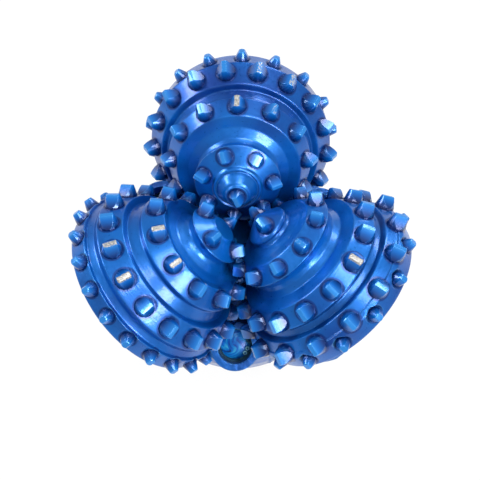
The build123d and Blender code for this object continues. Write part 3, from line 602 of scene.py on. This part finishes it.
# %% Cone profiles
CONE_BACKFACE = 118.5
HEEL = [on_cone(133.4, 0.5), (CONE_BACKFACE, 60.9)]
NOSE_FACE = {"a": 17.0, "b": 20.6, "c": 13.5}
CONE_OUTLINE = {
    "a": [(17.0, 8.8), (18.6, 9.2), (19.4, 11.0), (25.0, 15.2), (27.4, 16.4), (26.2, 17.6)]
    + [(26.8, 19.0), (29.0, 20.2), (30.2, 22.8), (32.5, 28.0), (36.4, 35.0), (40.0, 32.6)]
    + [(43.0, 31.2), (46.0, 31.3), (49.0, 33.6), (52.8, 41.2), (53.3, 50.8)]
    + [on_cone(88.5, 11.9), on_cone(90.0, 8.0), on_cone(98.0, 7.0), on_cone(100.6, 11.6)]
    + [on_cone(120.0, 11.5)],
    "b": [(20.6, 10.6), (21.6, 11.4), (29.9, 25.2), (33.0, 22.8), (37.0, 22.2), (40.0, 24.0)]
    + [(44.0, 28.2), (46.2, 35.0), on_cone(59.3, 10.0), on_cone(77.5, 10.6)]
    + [on_cone(79.5, 6.0), on_cone(89.0, 6.0), on_cone(91.0, 12.0), on_cone(111.0, 12.0)]
    + [on_cone(114.0, 7.5), on_cone(119.5, 6.8), on_cone(121.5, 9.5)],
    "c": [(14.5, 3.4), (23.6, 16.5), (24.6, 17.6), (27.0, 17.9), (28.6, 16.4), (31.5, 17.6)]
    + [(33.6, 26.0), (34.3, 33.2), (45.3, 44.8), (48.0, 42.0), (52.0, 40.6), (56.0, 41.0)]
    + [(60.5, 45.0), on_cone(83.2, 11.3), on_cone(99.5, 11.8), on_cone(101.0, 6.0)]
    + [on_cone(106.0, 6.0), on_cone(108.5, 11.0), on_cone(118.0, 10.4), on_cone(118.6, 11.3)]
    + [on_cone(122.6, 10.9)],
}
# The bores for bushings, balls and seal, from the backface to the thrust button's floor
CONE_INSIDE = [(CONE_BACKFACE, 40.9), (115.9, 40.9), (115.9, 46.6), (109.3, 46.6), (109.3, 40.9)]
CONE_INSIDE += [(107.0, 40.9), (107.0, 37.0), (78.8, 37.0), (78.8, 31.1), (76.7, 32.7)]
CONE_INSIDE += [(74.6, 35.6), (70.6, 37.0), (66.6, 35.6), (64.5, 32.7), (61.5, 31.1), (61.5, 20.5)]
CONE_INSIDE += [(48.1, 20.5), (48.1, 14.0), (44.5, 14.0), (44.5, 0.0)]

# %% [markdown]
# ## The rows of inserts
#
# Where each row sits, how many inserts it has and where the first one stands are the same numbers
# that the CAD was cut with. An insert's own frame has its axis out of the land, and its crest
# along the cone's profile.

# %% Rows
SMALL = dict(radius=6.75, height=9.0, crest=3.9, blunt=1.7)
MEDIUM = dict(radius=7.5, height=9.3, crest=4.1, blunt=1.8)
LARGE = dict(radius=7.94, height=9.6, crest=4.5, blunt=1.9)
GAUGE = dict(radius=5.95, height=8.0, crest=2.5, blunt=2.3)
GAUGE_BASE = on_cone(126.52, 5.4)
GAUGE_LEAN = on_cone(0.5, 0.866)
CONE_ROWS = {
    "a": [
        ("nose_inserts", SMALL, (17.0, 0.0), (-1.0, 0.0), 1, 25.0),
        ("row1_inserts", SMALL, on_cone(42.6, 4.8), leaning(27.0), 7, 74.6),
        ("row2_inserts", MEDIUM, on_cone(81.2, 12.0), leaning(-1.0), 13, 59.3),
        ("row3_inserts", LARGE, on_cone(111.3, 12.0), leaning(-3.0), 18, 31.6),
        ("gauge_inserts", GAUGE, GAUGE_BASE, GAUGE_LEAN, 18, 42.1),
    ],
    "b": [
        ("row1_inserts", SMALL, on_cone(31.6, 0.6), leaning(26.0), 4, 291.4),
        ("row2_inserts", MEDIUM, on_cone(66.4, 10.6), leaning(11.0), 11, 312.2),
        ("row3_inserts", LARGE, on_cone(101.6, 12.0), leaning(2.0), 17, 325.3),
        ("gauge_inserts", GAUGE, GAUGE_BASE, GAUGE_LEAN, 21, 345.6),
    ],
    "c": [
        ("nose_inserts", SMALL, (19.5, 10.5), (-0.82, 0.57), 2, 335.0),
        ("row1_inserts", SMALL, on_cone(55.0, 10.0), leaning(13.0), 10, 314.6),
        ("row2_inserts", LARGE, on_cone(92.3, 11.8), leaning(-3.0), 15, 267.3),
        ("row3_inserts", LARGE, on_cone(117.6, 11.5), leaning(-6.0), 15, 309.6),
        ("gauge_inserts", GAUGE, GAUGE_BASE, GAUGE_LEAN, 15, 321.6),
    ],
}
HEEL_BASE = on_cone(132.65, -9.5)
HEEL_LEAN = on_cone(1.0, 0.0)


def insert_frames(letter, base, lean, count, first):
    """Feet and directions of a row's inserts: foot, along the crest, across it, and out."""
    origin, out, up, side = journal_frame(letter)
    angle = np.radians(first + 360.0 * np.arange(count) / count)[:, None]
    outward = np.cos(angle) * up + np.sin(angle) * side
    lean = np.array(lean) / np.hypot(*lean)
    foot = origin + base[0] * out + base[1] * outward
    axis = lean[0] * out + lean[1] * outward
    along = lean[1] * out - lean[0] * outward
    return foot, along, np.cross(axis, along), axis


# %% [markdown]
# ## Turning the cones
#
# The profile is carried round the journal. Round each insert the drill left a shallow spot face,
# and the enamel round each insert's foot is darkened with painted shade. Holes could be cut with
# booleans, but those tear the grid, so the points near an insert's axis are let down along it
# instead, and the insert stands in the dip.


# %% Cone shells
CORNER_RADIUS = 0.8
LONGEST_STEP = 1.6
SPOT_DEPTH = 0.35
SPOT_MARGIN = 1.2
SPOT_STEP = 1.6  # width of the smooth step at a spot face's edge
# The spot number also sets the painted shade round each insert.
SPOT_FADE = 4.0  # distance in which the spot number falls from 1 to 0
SPOT_REACH = 7.0  # farthest that a spot face goes up or down from the insert's foot


def turned_cone(letter, columns=480):
    """Points of a cone: origin + t * out + rho * (cos(angle) * up + sin(angle) * side), where
    (t, rho) runs along the profile, let down near each insert's axis by a smooth step. The number
    for the painted shade round the inserts falls with the distance from the axis and is a half at
    the edge of the drilled face."""
    outside = [(NOSE_FACE[letter], 0.0)] + CONE_OUTLINE[letter] + HEEL + [(CONE_BACKFACE, 41.0)]
    outside = divided(rounded(outside, CORNER_RADIUS), LONGEST_STEP)
    profile = np.vstack([outside, np.array(CONE_INSIDE, float)])
    origin, out, up, side = journal_frame(letter)
    angle = np.linspace(0, 2 * np.pi, columns, endpoint=False)
    outward = np.cos(angle)[:, None] * up + np.sin(angle)[:, None] * side
    grid = origin + profile[:, None, :1] * out + profile[:, None, 1:] * outward
    skin = grid[: len(outside)]
    spot_shade = np.zeros(grid.shape[:2])
    for _, insert, base, lean, count, first in CONE_ROWS[letter]:
        foot, _, _, axis = insert_frames(letter, base, lean, count, first)
        away = skin[:, :, None, :] - foot
        height = (away * axis).sum(-1)
        distance = np.sqrt(np.maximum((away**2).sum(-1) - height**2, 0))
        reach = insert["radius"] + SPOT_MARGIN
        level = np.abs(height) < SPOT_REACH
        inside = np.clip((reach + 0.5 - distance) / SPOT_STEP, 0, 1)
        inside = inside * inside * (3 - 2 * inside) * level
        over = np.maximum(height + SPOT_DEPTH, 0) * inside
        skin -= (over[..., None] * axis).sum(2)
        near = np.clip(0.5 + (reach - distance) / SPOT_FADE, 0, 1) * level
        spot_shade[: len(outside)] = np.maximum(spot_shade[: len(outside)], near.max(-1))
    steps = np.linalg.norm(np.diff(profile, axis=0), axis=1)
    u = np.concatenate([[0.0], np.cumsum(steps)]) * MM
    faces = grid_faces(len(profile), columns, True)
    ring = np.arange(columns + 1) / columns
    i, j = np.divmod(np.arange(len(faces)), columns)
    corner_u = np.stack([u[i], u[i], u[i + 1], u[i + 1]], axis=-1)
    corner_v = np.stack([ring[j], ring[j + 1], ring[j + 1], ring[j]], axis=-1)
    maps = np.stack([corner_u, corner_v], axis=-1)
    return grid.reshape(-1, 3), faces, maps, spot_shade.reshape(-1)


for letter in "abc":
    points, faces, maps, spot_shade = turned_cone(letter)
    piece = ("turned_cone_" + letter, points, faces, f"cone_{letter}_set")
    shell = make_piece(*piece, cone_paint, "cone_paint", 32, maps=maps, marks={"spot_shade": spot_shade})
    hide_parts("cone_" + letter)
    print(shell.name, len(shell.data.polygons), "faces")

# %% [markdown]
# ## The inserts
#
# An insert is pressed from tungsten carbide powder and sintered. Its head is a blunt cone with two
# flats ground by the die, which leave a crest like a chisel's. A boolean of a cone and two planes
# gives that too, but with ragged faces. Here each level of the head is one ring: two arcs of a
# circle and two straight flats between them, so the flats' edges run up the head as clean lines.


# %% Chisel heads
HEAD_DROP = 0.25
HEAD_WEAR, BUTTON_WEAR = 1.25, 1.6


def chisel_head(radius, height, crest, blunt):
    """Rings of one head in its own frame, x along the crest, y across it and z out of the land.

    At each level the circle's radius runs from the shank's to the crest's, and the flats cut it at
    a half width that runs from the shank's radius to the crest's. The last rings close the top. The
    head is made a little lower than the CAD's, so that no corner of its crest passes the gauge."""
    height = height - HEAD_DROP
    top = [height - 0.45, height, height + 0.06]
    level = np.array([-2.0, 0.25, 0.9, 0.35 * height, 0.65 * height, *top])
    round_at = np.interp(level, [0.5, height - 0.6], [radius, crest + 0.9])
    round_at[-3:] = [crest + 0.80, crest + 0.25, 0.6 * crest]
    flat_at = np.interp(level, [0.9, height - 0.45], [radius * 0.985, blunt + 0.15])
    flat_at[-3:] = [blunt + 0.15, blunt - 0.25, 0.3 * blunt]
    turn = np.arcsin(np.minimum(flat_at / round_at, 0.985))[:, None]
    arc = turn * np.linspace(-1, 1, 7)[None, :]
    arc_x = round_at[:, None] * np.cos(arc)
    arc_y = round_at[:, None] * np.sin(arc)
    flat_x = arc_x[:, -1:] * np.array([[0.5, 0.0, -0.5]])
    flat_y = arc_y[:, -1:] * np.ones((1, 3))
    x = np.hstack([arc_x, flat_x, -arc_x, -flat_x])
    y = np.hstack([arc_y, flat_y, -arc_y, -flat_y])
    z = np.repeat(level[:, None], x.shape[1], axis=1)
    middle = np.array([0.0, 0.0, height + 0.08]) * np.ones((x.shape[1], 1))
    foot = np.stack([0 * x[0], 0 * x[0], z[0]], axis=-1)
    return np.concatenate([foot[None], np.stack([x, y, z], axis=-1), middle[None]])


def row_of(letter, head, base, lean, count, first, amount):
    """The head's rings set out along a row: foot + x * along + y * across + z * axis for each.

    The wear of a point rises with its height on the head, and more so on the inserts that stand
    highest on the bit, which are the ones it was set down on."""
    frames = insert_frames(letter, base, lean, count, first)
    foot, along, across, axis = [ways[:, None, None] for ways in frames]
    points = foot + head[..., :1] * along + head[..., 1:2] * across + head[..., 2:] * axis
    rings, columns = head.shape[:2]
    faces = grid_faces(rings, columns, True)
    faces = faces[None] + (np.arange(count) * rings * columns)[:, None, None]
    height = head[..., 2]
    tip = (foot + axis * height.max())[:, 0, 0, 2]
    standing = np.clip((tip - (CROSSING_HEIGHT + 8.0)) / 14.0, 0, 1)
    chance = np.random.default_rng(7 + count + int(first)).uniform(0.25, 1.0, count)
    rub = (0.18 + 0.82 * standing) * chance * amount
    wear = rub[:, None, None] * np.clip((height / height.max() - 0.80) / 0.20, 0, 1)
    # The tip number also sets the painted shade of the enamel at each head's foot.
    climb = np.clip(height / height.max(), 0, 1) * np.ones((count, 1, 1))
    marks = {"wear": wear.reshape(-1), "tip": climb.reshape(-1)}
    return points.reshape(-1, 3), faces.reshape(-1, 4), marks


for letter in "abc":
    for row_name, insert, base, lean, count, first in CONE_ROWS[letter]:
        head = chisel_head(**insert)
        points, faces, marks = row_of(letter, head, base, lean, count, first, HEAD_WEAR)
        piece = (f"{row_name}_heads_{letter}", points, faces, f"cone_{letter}_set")
        row = make_piece(*piece, painted_carbide, "painted_carbide", 20, marks=marks)
        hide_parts(f"{row_name}_{letter}")
print("heads done:", sum(row[4] for rows in CONE_ROWS.values() for row in rows), "inserts")

# %% [markdown]
# ## Guards on the heel
#
# Flat round buttons of carbide protect the heel of each cone and the tip of each leg. They are
# lower than the inserts and have no crest. Those on the legs keep their CAD shape, and a flattened
# dome of a few rings is all that the others need.


# %% Low buttons
def low_button(radius, dome, columns=16):
    """Rings of a button: a short wall and a flattened dome whose height falls with the fourth power
    of the distance from its middle."""
    share = np.array([0.0, 1.0, 1.0, 0.94, 0.8, 0.5, 0.2, 0.0])
    height = np.array([-1.2, -1.2, 0.15, 0.42, 0.75, 0.94, 0.99, 1.0]) * dome
    angle = np.linspace(0, 2 * np.pi, columns, endpoint=False)
    x = radius * share[:, None] * np.cos(angle)
    y = radius * share[:, None] * np.sin(angle)
    return np.stack([x, y, np.repeat(height[:, None], columns, axis=1)], axis=-1)


button = low_button(radius=4.75, dome=1.2)
for letter in "abc":
    count, first = CONE_ROWS[letter][-1][4:]
    between = first + 180.0 / count
    where = (HEEL_BASE, HEEL_LEAN, count, between)
    points, faces, marks = row_of(letter, button, *where, BUTTON_WEAR)
    piece = (f"heel_buttons_{letter}", points, faces, f"cone_{letter}_set")
    guard = make_piece(*piece, painted_carbide, "heel_carbide", 40, marks=marks)
    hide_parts(f"heel_compacts_{letter}")

# %% [markdown]
# ## The thread
#
# The pin carries a tapered thread with four turns to the inch, which pulls the bit tight into the
# drill string. In CAD it would be thousands of small faces, so the CAD pin stops at the thread's
# root and the ridge is laid round it here: one section carried along a helix that shrinks with
# the taper, and sinks into the root at both ends.

# %% Pin thread
PIN_LARGE_RADIUS = 76.1
PIN_TAPER = 1.0 / 12.0
THREAD_DEPTH = 3.7
PITCH = 25.4 / 4.0
THREAD_START, THREAD_END = 3.0, 113.0


def thread_ridge(steps_per_turn=90):
    """Points at a radius of root(z) + depth * share and an angle of 2 pi z / pitch, where z is also
    shifted along the section. The depth fades over the first and the last half turn."""
    turns = (THREAD_END - THREAD_START) / PITCH
    count = int(turns * steps_per_turn)
    z = np.linspace(THREAD_START, THREAD_END, count)
    angle = 2 * np.pi * (z - THREAD_START) / PITCH
    fade = np.clip(np.minimum(z - THREAD_START, THREAD_END - z) / (0.5 * PITCH), 0, 1)
    # The section: foot, flank, crest, flank, foot, then under the root to close
    shift = np.array([-2.85, -1.05, -0.75, 0.75, 1.05, 2.85, 1.6, -1.6])
    share = np.array([-0.03, 0.93, 1.0, 1.0, 0.93, -0.03, -0.35, -0.35])
    height = z[:, None] + shift
    root = PIN_LARGE_RADIUS - (SHOULDER_HEIGHT - height) * PIN_TAPER - THREAD_DEPTH
    radius = root + THREAD_DEPTH * np.where(share > 0, share * fade[:, None], share)
    x = radius * np.cos(angle)[:, None]
    y = radius * np.sin(angle)[:, None]
    points = np.stack([x, y, height], axis=-1)
    middle = points.mean(axis=1, keepdims=True)
    points[0] = middle[0]
    points[-1] = middle[-1]
    return points.reshape(-1, 3), grid_faces(count, shift.size, True)


points, faces = thread_ridge()
thread_steel = finish["thread_steel"]
thread = make_piece("pin_thread", points, faces, "bit_body", thread_steel, "body_paint", 35)
print("thread:", len(thread.data.polygons), "faces")

# %% [markdown]
# ## Welds
#
# The three forgings are welded together along upright seams, and the hole that the balls went in
# by is closed with a plug and a weld. A weld bead can't be a plain tube, because it lies on a
# surface that bends. So the CAD legs are probed with level rays from the bit's axis, and the bead
# is laid on the outermost place that each ray meets, with the small ripples that the torch leaves.

# %% Probing the legs
def node_points(name):
    """Mesh of a CAD node and its points in mm."""
    mesh = frame["nodes"][name].data
    places = np.empty(len(mesh.vertices) * 3)
    mesh.vertices.foreach_get("co", places)
    return mesh, places.reshape(-1, 3) / MM


corners = []
for letter in "abc":
    mesh, places = node_points("leg_" + letter)
    mesh.calc_loop_triangles()
    index = np.empty(len(mesh.loop_triangles) * 3, int)
    mesh.loop_triangles.foreach_get("vertices", index)
    corners.append(places[index].reshape(-1, 3, 3))
leg_triangles = np.concatenate(corners)
print(len(leg_triangles), "triangles of the legs to probe")


OUTER_HALF = 40.0  # only triangles beyond this radius on the rays' side are tried
SIDE_REACH = 20.0  # and only those that come this near to the middle ray
ROUNDING = 1e-6
PARALLEL = 1e-9  # a ray is taken as parallel to a triangle under this


def outer_radius(azimuth, height):
    """Largest radius at which the level ray at each azimuth and height meets the legs.

    Each ray and triangle are solved together: with edges e1 and e2, the ray's way d and the vector
    s from the first corner to the ray's start, the shares are s.(d x e2) and d.(s x e1), and the
    radius is e2.(s x e1), all over e1.(d x e2)."""
    way = np.stack([np.cos(azimuth), np.sin(azimuth), 0 * azimuth], axis=-1)
    middle = way.mean(axis=0)
    facing = (leg_triangles @ middle).max(axis=1) > OUTER_HALF
    low, high = height.min(), height.max()
    level = (leg_triangles[..., 2].max(axis=1) > low) & (leg_triangles[..., 2].min(axis=1) < high)
    sideways = np.abs(leg_triangles @ np.array([-middle[1], middle[0], 0.0])).min(axis=1)
    sideways = sideways < SIDE_REACH
    chosen = leg_triangles[facing & level & sideways]
    first, e1, e2 = chosen[:, 0], chosen[:, 1] - chosen[:, 0], chosen[:, 2] - chosen[:, 0]
    start = np.stack([0 * height, 0 * height, height], axis=-1)
    s = start[:, None] - first
    p = np.cross(way[:, None], e2[None])
    q = np.cross(s, e1[None])
    scale = (e1 * p).sum(-1)
    scale = np.where(np.abs(scale) < PARALLEL, np.nan, scale)
    share_1 = (s * p).sum(-1) / scale
    share_2 = (way[:, None] * q).sum(-1) / scale
    radius = (e2 * q).sum(-1) / scale
    met = (share_1 > -ROUNDING) & (share_2 > -ROUNDING) & (share_1 + share_2 < 1 + ROUNDING)
    return np.where(met, radius, 0.0).max(axis=1)


# %% Weld seams
SEAM_ANGLE = 84.0
SEAM_RADIUS = 90.0
RIPPLE_LENGTH = 2.7


def seam_bead(letter, low=134.0, high=236.0, half_width=3.4, crown=1.1):
    """Points along and across a seam: the probed radius, and on it a bead of
    1.3 * crown * (1 - (s / half width)^2) * ripple, whose edges sink under the leg's skin."""
    seam = math.radians(LEG_AZIMUTH[letter] + SEAM_ANGLE)
    height = np.arange(low, high, 0.9)
    across = np.linspace(-half_width, half_width, 9)
    height, across = np.meshgrid(height, across, indexing="ij")
    azimuth = seam + across / SEAM_RADIUS
    radius = outer_radius(azimuth.ravel(), height.ravel()).reshape(height.shape)
    ripple = 0.85 + 0.15 * np.sin(2 * np.pi * (height + 0.10 * across**2) / RIPPLE_LENGTH)
    fade = np.clip(np.minimum(height - low, high - height) / 3.0, 0, 1)
    radius = radius + (1.3 * crown * (1 - (across / half_width) ** 2) * ripple - 0.3) * fade - 0.1
    points = np.stack([radius * np.cos(azimuth), radius * np.sin(azimuth), height], axis=-1)
    return points.reshape(-1, 3), grid_faces(*height.shape, False)


for letter in "abc":
    points, faces = seam_bead(letter)
    bead = make_piece("seam_weld_" + letter, points, faces, "bit_body", body_paint, "body_paint")
    print(bead.name, len(faces), "faces, radius", round(float(np.hypot(*points[:, :2].T).min()), 1))


# %% Welds over the ball plugs
LEG_CURVE = 120.0  # radius of the leg's back, level across the plug


def plug_weld(letter, rings=9, columns=32, reach=9.5, crown=1.0):
    """Low dome laid on the leg over the plug: radius(place) + crown * (1 - (r / reach)^4).

    The leg is probed round the weld's edge, and a slope through those places gives the rest. The
    hole is slanted, so the weld is a little higher than it is wide."""
    places = node_points("ball_plug_" + letter)[1]
    out = np.hypot(places[:, 0], places[:, 1])
    end = places[out > out.max() - 3.0].mean(axis=0)
    azimuth, height = math.atan2(end[1], end[0]), end[2]
    r, turn = np.meshgrid(np.linspace(0, reach, rings), np.arange(columns) / columns, indexing="ij")
    across = r * np.cos(2 * np.pi * turn)
    rise = 1.12 * r * np.sin(2 * np.pi * turn)
    azimuth = azimuth + across / np.hypot(end[0], end[1])
    height = height + rise
    slope = np.polyfit(rise[-1], outer_radius(azimuth[-1], height[-1]), 1)
    radius = slope[0] * rise + slope[1] - across**2 / (2 * LEG_CURVE) + 0.35
    rim = r > reach - 0.1
    swirl = 0.12 * np.sin(2 * np.pi * (r / 2.4 + turn)) * ~rim
    radius = radius + crown * (1 - (r / reach) ** 4) + swirl - 0.5 * rim
    points = np.stack([radius * np.cos(azimuth), radius * np.sin(azimuth), height], axis=-1)
    return points.reshape(-1, 3), grid_faces(rings, columns, True)


for letter in "abc":
    points, faces = plug_weld(letter)
    make_piece("plug_weld_" + letter, points, faces, "bit_body", body_paint, "body_paint")
    print("plug weld", letter, np.round(points.mean(axis=0), 1))

# %% [markdown]
# ## Covers in the nozzles
#
# The photograph shows a closed, glossy, blue-green face inside each nozzle's snap ring: a new bit
# is sold with a thin cover over the jet, and the cover has a swirl of light and dark strokes. The
# CAD nozzle keeps its open jet, so the cover is only a film here, one low dome in each nozzle.

# %% Swirled film
def film_finish():
    """Glossy blue-green film whose strokes follow the cover's own twisted map."""
    made, tree, output = new_material("nozzle_film")
    strokes = noise(tree, piece_map(tree, (1.1, 4.2, 1.0)), 1.0, 4.0, 0.6, 0.5)
    stops = [(0.32, (0.0, 0.02, 0.09, 1)), (0.44, (0.0, 0.075, 0.40, 1))]
    stops += [(0.56, (0.0, 0.18, 0.52, 1)), (0.70, (0.05, 0.40, 0.60, 1))]
    settings = {"Metallic": 0.10, "IOR": 1.5, "Specular IOR Level": 0.25, "Coat Weight": 0.10}
    colour, gloss = ramp(tree, strokes, stops), span(tree, strokes, 0.45, 0.25)
    shader = principled(tree, settings, colour, gloss, bump(tree, strokes, 0.6, 0.0003))
    tree.links.new(shader, output.inputs[0])
    return made


film = film_finish()

# %% Nozzle covers
NOZZLE_AZIMUTH, NOZZLE_R, NOZZLE_SIDE, NOZZLE_RIM_HEIGHT = 60.0, 88.7, 1.5, 252.0
NOZZLE_TILT = math.radians(18.0)
COVER_BASE = -12.5  # from the rim, along the jet
COVER_RADIUS = 13.0
COVER_TWIST = 2.4  # radians from the middle to the edge


def nozzle_frame(letter):
    """Middle of the nozzle's rim, the way across, the way inwards and the jet's own way."""
    turn = math.radians(LEG_AZIMUTH[letter] + NOZZLE_AZIMUTH)
    out = np.array([math.cos(turn), math.sin(turn), 0.0])
    across = np.array([-math.sin(turn), math.cos(turn), 0.0])
    jet = math.sin(NOZZLE_TILT) * out + np.array([0.0, 0.0, math.cos(NOZZLE_TILT)])
    rim = NOZZLE_R * out + NOZZLE_SIDE * across + np.array([0.0, 0.0, NOZZLE_RIM_HEIGHT])
    return rim, across, np.cross(jet, across), jet


def dome(radius, base, height, rings=14, columns=48):
    """Grid of a low dome, z = base + height * (1 - (r / radius)^2), with its edge turned down."""
    r = np.append(np.linspace(0, radius, rings), radius)
    z = base + height * (1 - (r / radius) ** 2)
    z[-1] = base - 0.8
    angle = 2 * np.pi * np.arange(columns) / columns
    x, y = r[:, None] * np.cos(angle), r[:, None] * np.sin(angle)
    return np.stack([x, y, np.repeat(z[:, None], columns, axis=1)], axis=-1)


def laid(letter, grid):
    """Points x * across + y * inwards + z * jet from the middle of a nozzle's rim."""
    rim, across, inwards, jet = nozzle_frame(letter)
    places = rim + grid[..., :1] * across + grid[..., 1:2] * inwards + grid[..., 2:] * jet
    return places.reshape(-1, 3)


cover = dome(COVER_RADIUS, COVER_BASE, height=2.2)
cover_faces = grid_faces(*cover.shape[:2], True)
reach = np.hypot(cover[..., 0], cover[..., 1]) / COVER_RADIUS
twist = np.arctan2(cover[..., 1], cover[..., 0]) + COVER_TWIST * reach
twisted = np.stack([reach * np.cos(twist), reach * np.sin(twist)], axis=-1).reshape(-1, 2)
for number, letter in enumerate("abc"):
    piece = ("nozzle_cover_" + letter, laid(letter, cover), cover_faces, "bit_body")
    maps = twisted[cover_faces] + 5.0 * number
    make_piece(*piece, film, "nozzle_carbide", 40, maps=maps)
print("covers:", len(cover_faces), "faces each")

# %% [markdown]
# ## Eyes of the snap rings
#
# Each nozzle is held by a snap ring, whose two ends have a small eye for the pliers. One of them
# shows in the photograph, low on the right. They could be punched from the ring's own flat, but
# the CAD ring is closed, so each eye is a small loop laid on its inner edge.

# %% Snap ring eyes
EYE_RING_RADIUS = 11.6
EYE_HEIGHT = -9.8


def eye_loop(turn, loop=1.35, wire=0.55, around=20, section=8):
    """Torus (loop + wire cos s)(cos a, sin a), wire sin s, moved out to the ring at a turn."""
    a = (2 * np.pi * np.arange(around) / around)[:, None]
    s = (2 * np.pi * np.arange(section) / section)[None]
    reach = loop + wire * np.cos(s)
    x = reach * np.cos(a) + EYE_RING_RADIUS * math.cos(turn)
    y = reach * np.sin(a) + EYE_RING_RADIUS * math.sin(turn)
    return np.stack([x, y, EYE_HEIGHT + wire * np.sin(s) + 0 * a], axis=-1)


EYE_TURNS = (math.radians(-35.5), math.radians(-13.0))
eyes = np.stack([eye_loop(turn) for turn in EYE_TURNS])
faces = grid_faces(*eyes.shape[1:3], True, True)
faces = np.concatenate([faces + k * eyes[0, ..., 0].size for k in range(len(eyes))])
for letter in "abc":
    piece = ("snap_ring_eyes_" + letter, laid(letter, eyes), faces, "bit_body")
    make_piece(*piece, finish["ring_eye"], "spring_steel", 40)

# %% [markdown]
# ## Finishes for the CAD pieces that stay
#
# The other nodes already have the right shape. Each gets the finish of its own slot.

# %% Finishes on the CAD nodes
slot_of_node = {entry["node"]: entry["material_slot"] for entry in frame["record"]["subparts"]}
for name, piece in frame["nodes"].items():
    piece.data.materials.clear()
    piece.data.materials.append(finish[slot_of_node[name]])
print(len(frame["nodes"]), "nodes finished")
